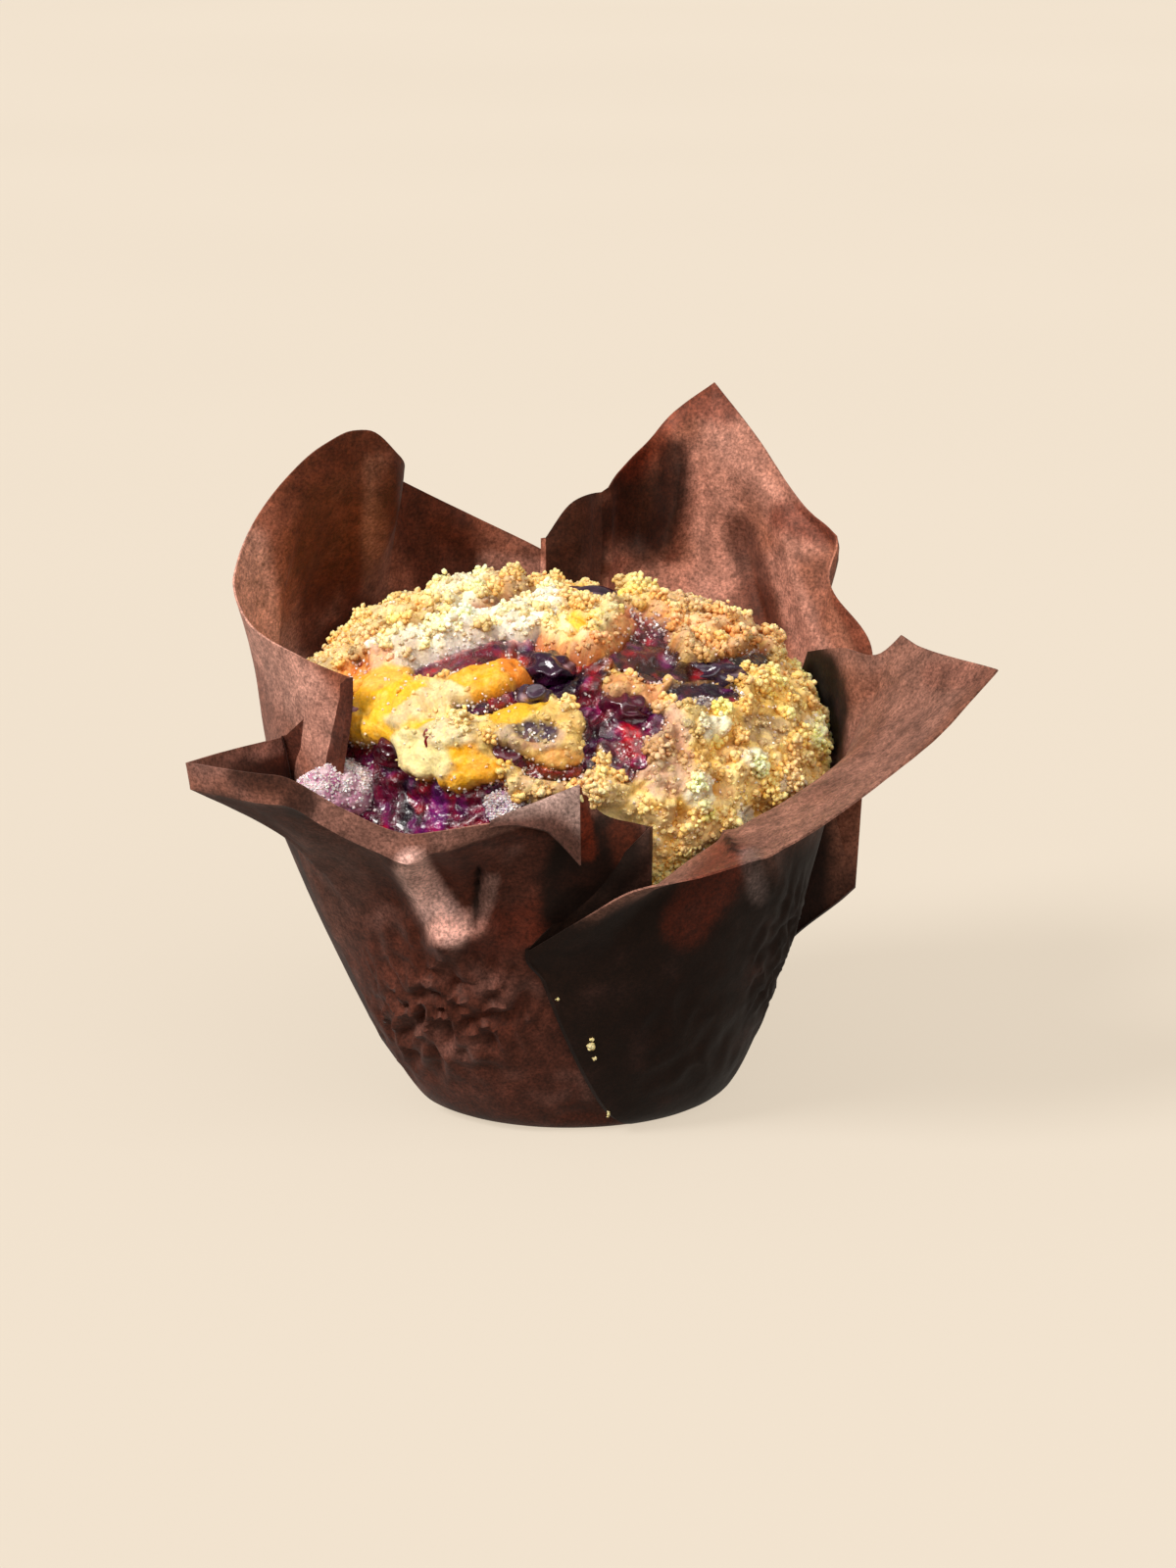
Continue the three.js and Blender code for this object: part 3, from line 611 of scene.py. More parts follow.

# Marks on the paper: painted shade in its hollows, folds and creases and on faces turned from the light,
# painted highlight on its lit ridges and facets, and russet edges: where they show in the photo, their
# colour and its share, and for an oval how soft its edge is
SHADE_HIGHLIGHTS_AND_STAINS = {
    "turned": [
        # Painted shade: the lower part of the turned corner darkens to the wall colour
        band([(496, 862), (556, 858), (580, 874), (594, 896)], 44, to=linear(70, 40, 32), share=0.95),
    ],
    "back_right": [
        # Painted highlight on the lit ridges and faces
        band([(640, 580), (690, 600), (740, 640)], 44, to=HIGHLIGHT_MAUVE, share=0.3),
        band([(736, 430), (780, 490), (818, 545)], 34, to=HIGHLIGHT_MAUVE, share=0.5),
        band([(716, 480), (742, 560), (738, 620)], 46, to=HIGHLIGHT_MAUVE, share=0.42),
        band([(793, 580), (830, 668)], 26, to=HIGHLIGHT_MAUVE, share=0.5),
        # Painted shade in the hollow and along the valley beside it
        spot(650, 515, 46, 60, turn=4, to=SHADE_BROWN, share=0.92, soft=0.9),
        band([(686, 462), (684, 505), (672, 550)], 22, to=SHADE_BROWN, share=0.9),
        band([(640, 470), (668, 430), (704, 402), (736, 414)], 30, to=RUSSET, share=0.7),
        # Painted shade on the folded-back strip, in the lower valley and along the shadow line
        spot(584, 548, 36, 84, to=SHADE_BROWN, share=0.92, soft=0.2),
        spot(764, 622, 24, 34, turn=24, to=linear(84, 36, 18), share=0.75, soft=0.8),
        band([(756, 540), (772, 590), (790, 652)], 22, to=linear(66, 26, 14), share=0.7),
        band([(800, 528), (842, 540)], 24, to=RUSSET, share=0.75),
        band([(856, 610), (884, 664)], 12, to=RUSSET, share=0.6),
    ],
    "back_left": [
        # Painted shade on the inner face, which turns from the key light
        spot(340, 560, 48, 120, turn=-4, to=linear(70, 28, 14), share=0.85, soft=0.8),
        spot(360, 450, 50, 30, to=linear(74, 30, 16), share=0.8, soft=0.8),
        # Painted highlight on the lit left edge, the lower left and the bright rim
        band([(250, 560), (262, 640), (300, 700)], 34, to=HIGHLIGHT_MAUVE, share=0.95),
        band([(300, 700), (340, 760)], 40, to=HIGHLIGHT_MAUVE, share=0.7),
        band([(386, 480), (384, 600)], 20, to=linear(136, 92, 76), share=0.8),
        # Painted shade right of the ridge, then more painted highlight
        band([(420, 500), (470, 600)], 60, to=linear(62, 22, 9), share=0.9),
        band([(500, 575), (550, 585)], 18, to=HIGHLIGHT_MAUVE, share=0.5),
        band([(260, 700), (300, 830)], 30, to=linear(138, 96, 84), share=0.6),
    ],
    "right_front": [
        # Painted shade beside the muffin and in the valley fold
        spot(836, 712, 32, 56, turn=-8, to=SHADE_BLACK, share=0.92, soft=0.35),
        spot(620, 862, 44, 50, to=SHADE_BLACK, share=0.97),
        spot(832, 712, 24, 44, turn=14, to=SHADE_BLACK, share=0.95),
        band([(700, 940), (742, 880)], 34, to=RUSSET, share=0.75),
        # Painted shade in a crease, and a pale streak of painted highlight by the ridge
        band([(742, 856), (751, 868)], 7, to=SHADE_BLACK, share=0.9),
        band([(765, 875), (775, 912)], 14, to=linear(110, 92, 88), share=0.6),
        band([(955, 690), (1010, 690)], 20, to=RUSSET, share=0.25),
    ],
    "left_front": [
        # Painted highlight on the lit facets of the dent, and painted sheen, paler grey, on the left of the
        # wall
        band([(420, 885), (440, 920), (462, 948)], 24, to=linear(226, 178, 166), share=0.9),
        band([(448, 948), (484, 944)], 17, to=linear(226, 168, 152), share=0.85),
        spot(330, 900, 50, 60, to=linear(104, 70, 60), share=0.5, soft=0.9),
        band([(500, 900), (492, 930)], 12, to=linear(160, 122, 112), share=0.6),
        # Painted shade in the crease
        band([(488, 888), (484, 940)], 6, to=SHADE_BLACK, share=0.9),
        band([(500, 955), (560, 935)], 30, to=RUSSET, share=0.6),
        # Painted shade in the valley fold
        spot(606, 900, 52, 76, turn=18, to=SHADE_BLACK, share=0.97),
        band([(592, 812), (600, 870)], 11, to=RUSSET, share=0.9),
        # Painted shade in the fold beside it, on the inner face by the tip, and low where the two walls meet
        band([(640, 850), (652, 890)], 26, to=linear(70, 28, 14), share=0.9),
        band([(250, 790), (300, 800), (306, 820)], 24, to=SHADE_BROWN, share=0.8),
        band([(620, 1060), (660, 1120)], 30, to=SHADE_BLACK, share=0.5),
    ],
}


def paper_tint(name, verts, brim):
    """Colour of the paper: dry petals, the wall darker with oil and painted shade, and the marks of painted
    shade, painted highlight and stain laid over it.
    """
    z = verts[:, 2]
    px, py = project(verts)
    radial = np.hypot(verts[:, 0] - wall_centre(np.maximum(z, 0)), verts[:, 1])
    away = radial - wall_radius(np.clip(z, 0.1, 70))
    # Darker low down and near the wall: oil soaked into the paper there, and painted shade on the faces that
    # turn from the light
    soak_and_shade = 1 - smooth((z - 44 + 5 * noise(verts, 12, 15)) / 16 + smooth(away / 6))
    colours = PAPER[name]
    # On the left front, all of the petal below its brim takes the darker colour: oil, and painted shade on
    # its inner face
    if colours.get("pale_brim"):
        soak_and_shade = (1 - brim) * np.ones_like(z)
    tint = paint(colours["dry"], colours["soaked_and_shaded"], clamp(soak_and_shade))
    warm = patches(verts, 17, 16, -0.05, 0.6)
    tint = paint(tint, tint * np.array([0.86, 0.66, 0.52]), warm * 0.8)
    warp = 0.20 * noise(verts, 9, 19) + 0.10 * noise(verts, 3.5, 20)
    for mark in SHADE_HIGHLIGHTS_AND_STAINS.get(name, ()):
        if "line" in mark:
            line = streak(px, py, mark["line"], mark["width"])
            mask = smooth(1.7 * clamp(line + 0.6 * warp))
        else:
            d = oval(px, py, mark["at"], mark["size"], mark.get("turn", 0))
            soft = mark.get("soft", 0.3)
            mask = smooth((1 + soft / 2 - d - 2 * soft * warp) / soft)
        tint = paint(tint, mark["to"], mark["share"] * mask)
    return tint * (1 + 0.24 * noise(verts, 6, 17) + 0.16 * noise(verts, 2.4, 18))[:, None]


# Muffin

# Least cosine to the camera at which the photo still tells what is there
FACE_ON = 0.05

GOLD = linear(248, 190, 18)
AMBER = linear(206, 118, 34)
CREAM = linear(252, 240, 206)
STRAW = linear(249, 200, 94)
BEIGE = linear(222, 172, 96)
TOAST = linear(176, 108, 48)
PALE_HIGHLIGHT = linear(255, 244, 206)
BAKED = linear(228, 128, 24)
BUTTER = linear(255, 228, 130)
VIOLET = linear(112, 26, 108)
INK = linear(34, 8, 40)
PLUM = linear(88, 12, 58)
CRIMSON = linear(150, 14, 36)
FROST = linear(220, 196, 200)
PINK_FROST = linear(190, 130, 156)

# What shows on the top, laid one over the other: ovals with their slant, and
# streaks, in the photo. rise is in millimetres, and cake marks a rounded lump.
# grain is how crumbly it is, jam how wet, frost how much sugar lies on it, and
# strength how fully it covers what is under it.
TOP = [
    # The back of the top and its rim
    spot(440, 622, 105, 36, turn=-22, rise=1.6, grain=1, tint=linear(234, 190, 112)),
    spot(474, 612, 30, 18, turn=-10, rise=1.2, grain=1, tint=CREAM),
    spot(520, 604, 22, 12, rise=0.8, grain=1, tint=linear(206, 156, 96)),
    # Darker brown: painted shade in the valley behind the cream ridge
    band([(414, 660), (446, 648), (474, 640), (510, 626), (560, 612)], 11, rise=-1.8, grain=0.4,
         tint=linear(136, 84, 66)),
    band([(426, 654), (446, 648), (464, 642)], 13, rise=-0.4, jam=0.55, grain=0.3,
         tint=linear(92, 60, 84)),
    spot(345, 690, 36, 44, rise=0.6, grain=1, tint=BEIGE),
    spot(668, 620, 56, 26, rise=0.9, grain=1, tint=TOAST),
    spot(694, 642, 60, 20, turn=14, rise=0.8, grain=1, tint=linear(206, 134, 62)),
    band([(634, 636), (680, 652), (716, 668)], 12, rise=-1.0, jam=0.5, grain=0.4,
         tint=linear(110, 58, 74)),
    spot(648, 612, 26, 14, rise=0.9, grain=1, tint=STRAW),
    spot(592, 592, 18, 10, rise=1.6, grain=1, tint=STRAW),
    spot(736, 656, 56, 22, turn=14, rise=1.6, grain=1, tint=linear(214, 136, 56)),
    spot(792, 690, 22, 38, rise=0.2, grain=0.9, tint=BEIGE),
    # The pale streusel on the right: cream crumbs with painted highlight on the clump tops, ochre hollows
    # and a grey-brown patch of painted shade, and stains
    spot(742, 777, 102, 74, rise=1.3, grain=1, tint=STRAW),
    spot(780, 706, 32, 14, rise=0.8, grain=1, tint=STRAW),
    # Cream spots: pale crumbs, with painted highlight on the clump tops
    spot(719, 738, 16, 11, rise=0.9, grain=1, tint=CREAM),
    spot(757, 768, 14, 11, rise=0.8, grain=1, tint=CREAM),
    spot(704, 798, 15, 18, rise=0.9, grain=1, tint=CREAM),
    spot(788, 793, 12, 10, rise=0.7, grain=1, tint=CREAM),
    spot(812, 742, 10, 13, rise=0.5, grain=1, tint=CREAM),
    spot(751, 823, 14, 10, rise=0.7, grain=1, tint=CREAM),
    # Ochre hollows: painted shade between the clumps
    spot(736, 768, 9, 14, rise=-0.8, grain=0.8, tint=linear(206, 146, 56)),
    spot(728, 800, 9, 16, turn=-20, rise=-0.8, grain=0.8, tint=linear(214, 150, 50)),
    spot(780, 818, 16, 8, turn=-30, rise=-0.6, grain=0.8, tint=linear(222, 158, 50)),
    spot(692, 830, 26, 9, turn=10, rise=-0.8, grain=0.8, tint=linear(214, 150, 50)),
    spot(702, 862, 46, 32, rise=-0.2, grain=1, tint=linear(244, 184, 78)),
    spot(664, 760, 34, 50, rise=-0.2, grain=0.8, tint=linear(214, 162, 128)),
    # Grey-brown patch: painted shade
    spot(768, 742, 20, 16, grain=0.6, tint=linear(150, 118, 96), strength=0.7),
    spot(570, 798, 58, 20, turn=8, rise=1.3, grain=0.9, tint=linear(226, 184, 130)),
    # Pools of juice at the back, the middle, the right and the front left
    spot(600, 611, 40, 9, turn=8, rise=-0.9, jam=0.85, tint=PLUM),
    spot(443, 676, 27, 13, turn=-28, rise=-0.7, jam=0.6, tint=VIOLET),
    spot(370, 694, 10, 20, turn=25, rise=-0.6, jam=0.7, tint=PLUM),
    band([(436, 680), (478, 667), (520, 662), (556, 676)], 26, rise=-1.2, jam=1,
         tint=linear(104, 14, 44)),
    spot(556, 686, 46, 30, turn=-22, rise=-1.8, jam=1, tint=INK),
    spot(592, 706, 34, 27, rise=-1.5, jam=1, tint=linear(34, 8, 34)),
    spot(652, 672, 44, 19, turn=15, rise=-1.3, jam=0.95, tint=linear(84, 18, 22)),
    spot(650, 703, 34, 17, turn=8, rise=0.9, grain=0.6, tint=linear(214, 150, 96)),
    spot(628, 736, 46, 23, turn=10, rise=-1.5, jam=1, tint=PLUM),
    band([(612, 742), (628, 770), (636, 792)], 15, rise=-1.2, jam=1, tint=linear(78, 16, 40)),
    spot(418, 803, 108, 44, turn=8, rise=-1.8, jam=1, tint=linear(96, 12, 34)),
    band([(340, 815), (400, 842), (480, 852), (530, 846)], 30, rise=-0.8, jam=1, tint=linear(84, 10, 44)),
    band([(440, 770), (450, 806), (440, 850)], 13, rise=0.2, jam=1, tint=VIOLET),
    band([(412, 812), (416, 846)], 14, rise=-0.8, jam=1, tint=linear(18, 8, 26)),
    # The cream ridge and the clump of streusel in the middle
    band([(396, 672), (436, 655), (486, 641), (530, 634), (560, 622)], 18, rise=2.0, grain=1,
         tint=linear(255, 250, 234)),
    spot(598, 666, 36, 18, turn=-12, rise=0.8, grain=0.7, tint=linear(186, 84, 26)),
    band([(574, 676), (600, 682), (626, 672)], 12, rise=-0.2, jam=0.9, tint=linear(112, 26, 20)),
    spot(594, 643, 44, 25, rise=1.5, grain=1, tint=linear(246, 214, 142)),
    band([(556, 662), (594, 670), (626, 658), (637, 640)], 13, grain=0.6, tint=linear(208, 108, 38),
         strength=0.8),
    spot(590, 640, 14, 8, turn=20, grain=0.5, tint=linear(252, 200, 40)),
    # Sugared berry juice
    spot(706, 711, 36, 13, turn=-4, rise=-0.3, grain=0.5, jam=0.12, frost=0.12,
         tint=linear(104, 84, 100)),
    band([(684, 714), (716, 706), (744, 712)], 10, rise=-0.8, jam=0.9, tint=linear(44, 16, 44)),
    band([(660, 690), (722, 689), (768, 680)], 15, rise=-1.0, jam=1, tint=linear(44, 12, 16)),
    spot(346, 797, 30, 25, turn=40, rise=1.8, grain=0.2, frost=1, tint=FROST),
    spot(318, 782, 22, 16, turn=-20, rise=0.8, grain=0.4, frost=0.9, tint=PINK_FROST),
    spot(512, 824, 24, 15, turn=-20, rise=0.5, grain=0.4, frost=0.9, tint=linear(150, 98, 138)),
    # Lumps of bare cake with their crusts and crumbs: left, upper, lower and the one with a berry
    spot(392, 714, 54, 40, turn=-14, rise=3.2, cake=True, grain=0.3, tint=linear(250, 184, 8)),
    band([(345, 722), (362, 694), (396, 678)], 18, grain=0.25, tint=linear(232, 130, 18), strength=0.7),
    spot(436, 730, 28, 18, rise=0.2, grain=0.45, tint=linear(226, 196, 140)),
    spot(402, 690, 22, 10, turn=-20, grain=0.2, tint=linear(240, 178, 66)),
    spot(496, 692, 46, 24, turn=-18, rise=2.8, cake=True, grain=0.3, tint=linear(246, 168, 10)),
    band([(520, 676), (538, 690), (534, 706)], 13, grain=0.25, tint=linear(214, 96, 14), strength=0.7),
    spot(458, 710, 26, 13, grain=0.45, tint=linear(230, 204, 150)),
    spot(466, 757, 58, 36, turn=8, rise=3.2, cake=True, grain=0.3, tint=linear(250, 178, 4)),
    spot(434, 764, 33, 24, turn=20, rise=0.4, grain=0.45, tint=linear(244, 224, 160)),
    spot(470, 742, 36, 12, rise=0.2, grain=0.7, tint=linear(224, 200, 150)),
    spot(543, 738, 60, 32, rise=3.0, cake=True, grain=0.65, tint=linear(216, 176, 92)),
    spot(520, 722, 40, 13, turn=-14, grain=0.15, tint=linear(236, 180, 40)),
    spot(542, 748, 34, 16, turn=-6, grain=0.55, strength=0.6, tint=linear(150, 120, 126)),
    spot(548, 747, 21, 11, rise=-1.6, jam=0.15, grain=0.3, tint=linear(70, 46, 66)),
    spot(568, 772, 32, 15, rise=2.0, cake=True, grain=0.4, tint=linear(208, 146, 62)),
    # Dark valleys between the lumps
    band([(572, 702), (538, 713), (504, 723), (474, 733)], 11, rise=-2.2, jam=0.9,
         tint=linear(40, 12, 40)),
    band([(596, 722), (607, 742), (602, 768)], 12, rise=-1.8, jam=0.9, tint=linear(54, 22, 40)),
    band([(512, 762), (524, 776), (548, 788), (582, 790), (604, 784)], 9, rise=-1.4, jam=0.8,
         tint=linear(112, 28, 16)),
    spot(644, 766, 15, 24, turn=-12, rise=0.2, jam=1, tint=CRIMSON),
]

# The side that the photo doesn't show: middle x, y and radius in millimetres
BACK_TOP = [
    dict(at=(14, 22), radius=9, rise=-1.4, jam=1, grain=0, tint=PLUM),
    dict(at=(-20, 28), radius=8, rise=-1.4, jam=1, grain=0, tint=CRIMSON),
    dict(at=(28, 12), radius=7, rise=-1.2, jam=0.9, grain=0, tint=INK),
    dict(at=(-4, 36), radius=8, rise=2.0, jam=0, grain=0.15, tint=GOLD),
    dict(at=(-28, 15), radius=9, rise=2.0, jam=0, grain=0.2, tint=GOLD),
    dict(at=(24, 28), radius=8, rise=1.6, jam=0, grain=0.2, tint=AMBER),
]


def dome_point(angle, u):
    """Smooth form of the top: u is 0 at the shoulder and 1 at the middle."""
    radius = wall_radius(SHOULDER_HEIGHT) - wall_normal(SHOULDER_HEIGHT)[0] * CAKE_INSET
    rho = np.cos(u * math.pi / 2) ** 0.8
    z = SHOULDER_HEIGHT + DOME_RISE * (1 - rho ** DOME_POWER) ** (1 / DOME_POWER)
    x = wall_centre(SHOULDER_HEIGHT) + radius * rho * np.cos(angle)
    return np.stack([x, radius * rho * np.sin(angle), z], axis=-1)


def lay(fields, feature, mask, dome):
    """Lays one feature over what is there."""
    mask = mask * feature.get("strength", 1.0)
    if feature.get("cake"):
        fields["rise"] = mix(fields["rise"], 0.3 * fields["rise"], mask) + feature["rise"] * dome
    else:
        fields["rise"] = fields["rise"] + feature.get("rise", 0.0) * mask
    for key in ("grain", "jam", "frost"):
        fields[key] = mix(fields[key], feature.get(key, 0.0), mask)
    fields["tint"] = paint(fields["tint"], feature["tint"], mask)


def covered(d):
    """How far an oval covers a point, and the height of a round lump there, from the distance d."""
    return smooth((1.08 - d) / 0.2), np.sqrt(clamp(1.05 - d * d))


# Pixels by which a millimetre of rise moves a feature up in the photo
RISE_SHIFT = 4.5


def top_fields(points, normals):
    """Rise, crumbliness, wetness, sugar and colour over the top."""
    count = points.shape[:-1]
    px, py = project(points)
    facing = smooth((normals @ BACK - FACE_ON) / 0.08)
    tone = 0.5 + 0.5 * noise(points, 9, 40)
    fields = {key: np.zeros(count) for key in ("rise", "jam", "frost")}
    fields["grain"] = np.full(count, 0.95)
    fields["tint"] = paint(BEIGE, STRAW, clamp(tone))
    warp = 0.22 * noise(points, 5.5, 41) + 0.12 * noise(points, 2.2, 42) + 0.05 * noise(points, 1.0, 43)
    for feature in TOP:
        under = fields["rise"] * (0.3 if feature.get("cake") else 1.0)
        seen_y = py - RISE_SHIFT * (under + feature.get("rise", 0))
        if "line" in feature:
            line = streak(px, seen_y, feature["line"], feature["width"] * (1 + 1.4 * warp))
            mask, dome = smooth(2.2 * line), np.sqrt(line)
        else:
            d = oval(px, seen_y, feature["at"], feature["size"], feature.get("turn", 0))
            mask, dome = covered(d + warp)
        lay(fields, feature, mask * facing, dome * facing)
    behind = 1 - facing
    for feature in BACK_TOP:
        d = np.hypot(points[..., 0] - feature["at"][0], points[..., 1] - feature["at"][1])
        mask, dome = covered(d / feature["radius"] + warp)
        lay(fields, feature, mask * behind, dome * behind)
    return fields


# Where the end of the front petal leans on the top: middle and size in the photo
TUCKED = ((596, 870), (68, 52))


def softened(field, times):
    """The field with its steps between neighbouring grid points evened out."""
    for _ in range(times):
        field = np.pad(field, 1, mode="edge")
        across = field[:-2, 1:-1] + field[2:, 1:-1]
        field = (across + field[1:-1, :-2] + field[1:-1, 2:] + field[1:-1, 1:-1]) / 5
    return field


def finish_fields(fields, points):
    """Adds the crumb relief and small changes of colour, painted shade in the hollows and pits and painted
    highlight on the grain tops, and calms the shoulder under the paper.
    """
    clumps, clump_tone = granules(points + 1.2 * noise(points, 5, 50)[..., None], 5.6, 51)
    lumps, lump_tone = granules(points + 0.5 * noise(points, 3, 60)[..., None], 2.5, 65)
    grains, grain_tone = granules(points + 0.25 * noise(points, 1.5, 52)[..., None], 1.25, 53)
    crumbs, crumb_tone = granules(points, 0.8, 54)
    grain = fields["grain"]
    dry = 1 - smooth(fields["jam"] * 1.6)
    heights = 1.8 * clamp(clumps, -0.5) + 0.8 * clamp(lumps, -0.5) + 0.52 * clamp(grains, -0.5)
    relief = grain * heights * dry
    relief += (1 - grain) * (0.30 * rough(points, 4.5, 3, 55) + 0.20 * clamp(crumbs, -0.5)) * dry
    relief += fields["frost"] * 0.16 * clamp(crumbs, -0.4)
    pits = patches(points, 1.7, 56, 0.42, 0.25) * (1 - grain) * dry
    relief -= 0.5 * pits
    above = points[..., 2] - SHOULDER_HEIGHT
    lift = softened(fields["rise"], 4) * smooth((above - 0.5) / 8)
    lift += (relief + 0.4 * rough(points, 14, 2, 57)) * smooth(above / 2.5)
    px, py = project(points)
    fields["tucked"] = smooth((1.15 - oval(px, py, *TUCKED)) / 0.3)
    lift = mix(lift, np.minimum(lift, -0.3), fields["tucked"])
    fields["lift"] = np.minimum(lift, 0.35 + 0.7 * clamp(above, 0, 99))
    fields["height"] = clamp(0.45 + 0.30 * clumps + 0.28 * lumps + 0.16 * grains)
    tint = fields["tint"]
    wet = smooth((fields["jam"] - 0.2) / 0.4)
    tint = paint(tint, CRIMSON, 0.6 * wet * patches(points, 4.2, 91, 0.12, 0.3))
    tint = paint(tint, VIOLET, 0.5 * wet * patches(points, 3.6, 92, 0.15, 0.3))
    # Painted shade: darker and more golden in the hollows between the grains; painted highlight: paler on
    # their tops
    hollow_shade = grain * (1 - smooth(fields["height"] / 0.62))
    tint = paint(tint, tint * np.array([0.60, 0.38, 0.17]), hollow_shade)
    tint = paint(tint, PALE_HIGHLIGHT, 0.35 * (grain ** 2 * dry * smooth((fields["height"] - 0.55) / 0.4)))
    light = 0.92 + 0.3 * (grain_tone - 0.5) + 0.3 * (lump_tone - 0.5) + 0.3 * (clump_tone - 0.5)
    tint = tint * mix(1.0, light, grain * dry)[..., None]
    tint = paint(tint, TOAST, patches(points, 6.5, 58, 0.15, 0.5) * grain * dry * 0.4)
    tint = paint(tint, BAKED, patches(points, 3.4, 59, -0.1, 0.8) * (1 - grain) * dry * 0.35)
    tint = paint(tint, BUTTER, 0.32 * clamp(crumb_tone - 0.6, 0) / 0.4 * dry)
    # Painted shade in the pits
    tint = tint * (1 - 0.45 * pits[..., None])
    fields["tint"] = tint
    return fields


def disc_square(count):
    """Places over a round top from a square grid: azimuth and share of the radius."""
    a, b = np.meshgrid(np.linspace(-1, 1, count), np.linspace(-1, 1, count), indexing="ij")
    radius = np.maximum(np.abs(a), np.abs(b))
    with np.errstate(divide="ignore", invalid="ignore"):
        across = np.abs(a) >= np.abs(b)
        turn = np.where(across, math.pi / 4 * b / a, math.pi / 2 - math.pi / 4 * a / b)
        turn = np.where(across & (a < 0), turn + math.pi, turn)
        turn = np.where(~across & (b < 0), turn + math.pi, turn)
    turn = np.where(radius < 1e-9, 0, turn)
    return turn, radius


def top_surface():
    """The finished top on a square grid: base points, normals and fields."""
    turn, radius = disc_square(CRUST_CELLS)
    share = 1 - radius
    points = dome_point(turn, clamp(share, 0, 1))
    step = 1e-3
    here, inner, outer = (clamp(share + move, 0.002, 0.998) for move in (0, step, -step))
    around = dome_point(turn + step, here) - dome_point(turn - step, here)
    normals = unit(np.cross(around, dome_point(turn, inner) - dome_point(turn, outer)))
    normals = np.where((radius < 0.004)[..., None], np.array([0.0, 0.0, 1.0]), normals)
    fields = finish_fields(top_fields(points, normals), points)
    return points, normals, fields, turn


# The juice: wetness at its edge, how deep the crust lies under it, how far it
# stands over and under the smooth top, and its thickness
JAM_EDGE = 0.22
JAM_BED = 1.5
JAM_LEVEL = 0.7
JAM_THICKNESS = 1.6


def crust_points(points, normals, fields):
    """The crust itself, which dips under the juice."""
    sink = JAM_BED * smooth((fields["jam"] - 0.25) / 0.5)
    return points + normals * (fields["lift"] - sink)[..., None]


def square_ring(count):
    """Grid places round the edge of a square, in order of azimuth."""
    last = count - 1
    ring = [(last, j) for j in range(count)]
    ring += [(i, last) for i in range(last - 1, -1, -1)]
    ring += [(0, j) for j in range(last - 1, -1, -1)]
    ring += [(i, 0) for i in range(1, last)]
    return ring


# Heights of the rows of points down the side of the cake
SIDE_ROWS = (50.3, 49.4, 48.3, 47, 45.6, 44, 42.2, 40.2, 38, 35.5, 26, 12, 4, 0.9)


def crust_part(points, normals, fields, turn):
    """The whole cake: the crumbly top and the side that stands in the paper."""
    count = CRUST_CELLS
    top = crust_points(points, normals, fields)
    ids = np.arange(count * count).reshape(count, count)
    faces = [quads(ids)]
    verts = [top.reshape(-1, 3)]
    tints = [fields["tint"].reshape(-1, 3)]
    ring = square_ring(count)
    above = np.array([ids[i, j] for i, j in ring])
    angle = np.array([turn[i, j] for i, j in ring])
    total = count * count
    for z in SIDE_ROWS:
        inset = 2 * PLEAT_PITCH * smooth(z / PLEAT_RISE) + SHEET / 2 + CLEARANCE
        row = wall_point(angle, np.full(len(ring), z), inset)
        bumps = (0.5 * noise(row, 2.2, 71) + 0.3 * noise(row, 1.1, 72) - 0.1) * smooth((z - 30) / 6)
        row = wall_point(angle, np.full(len(ring), z), inset - np.minimum(bumps, 0.5))
        verts.append(row)
        tone = clamp(0.5 + 0.7 * noise(row, 1.8, 73) + 0.4 * noise(row, 6, 74))[:, None]
        tints.append(mix(linear(206, 128, 32), linear(244, 196, 96), tone))
        below = total + np.arange(len(ring))
        faces.append(np.stack([above, below, np.roll(below, -1), np.roll(above, -1)], axis=-1))
        above = below
        total += len(ring)
    verts.append(np.array([[wall_centre(SIDE_ROWS[-1]), 0.0, SIDE_ROWS[-1]]]))
    tints.append(np.array([linear(214, 150, 62)]))
    closing = [[a, b, total] for a, b in zip(np.roll(above, -1), above)]
    return np.concatenate(verts), np.concatenate(faces), closing, np.concatenate(tints)


def jam_part(points, normals, fields):
    """The wet fruit that has run into the hollows, as a thin closed slab."""
    jam = fields["jam"]
    wet = 0.34 * noise(points, 3.6, 61) + 0.26 * noise(points, 1.7, 62) + 0.12 * noise(points, 0.9, 63)
    pulp, _ = granules(points, 2.6, 64)
    wet = wet + 0.35 * clamp(pulp, -0.3)
    calm = smooth((points[..., 2] - SHOULDER_HEIGHT - 0.5) / 8)
    filled = smooth((jam - 0.3) / 0.5)
    level = (fields["rise"] * 0.9 + wet) * calm + mix(-JAM_LEVEL, JAM_LEVEL * 0.6, filled)
    inside = jam > JAM_EDGE
    cells = inside[:-1, :-1] & inside[1:, :-1] & inside[1:, 1:] & inside[:-1, 1:]
    used = np.zeros_like(inside)
    for di in (0, 1):
        for dj in (0, 1):
            used[di:di + cells.shape[0], dj:dj + cells.shape[1]] |= cells
    index = np.full(inside.shape, -1)
    index[used] = np.arange(used.sum())
    upper = quads(index)[cells.ravel()]
    top = (points + normals * level[..., None])[used]
    bottom = (points + normals * (level - JAM_THICKNESS)[..., None])[used]
    half = len(top)
    edges = {}
    for quad in upper:
        for a, b in zip(quad, np.roll(quad, -1)):
            if (b, a) in edges:
                del edges[(b, a)]
            else:
                edges[(a, b)] = True
    sides = [(b, a, a + half, b + half) for a, b in edges]
    verts = np.concatenate([top, bottom])
    faces = np.concatenate([upper, upper[:, ::-1] + half, np.array(sides)])
    tint = fields["tint"][used]
    return verts, faces, np.concatenate([tint, tint])


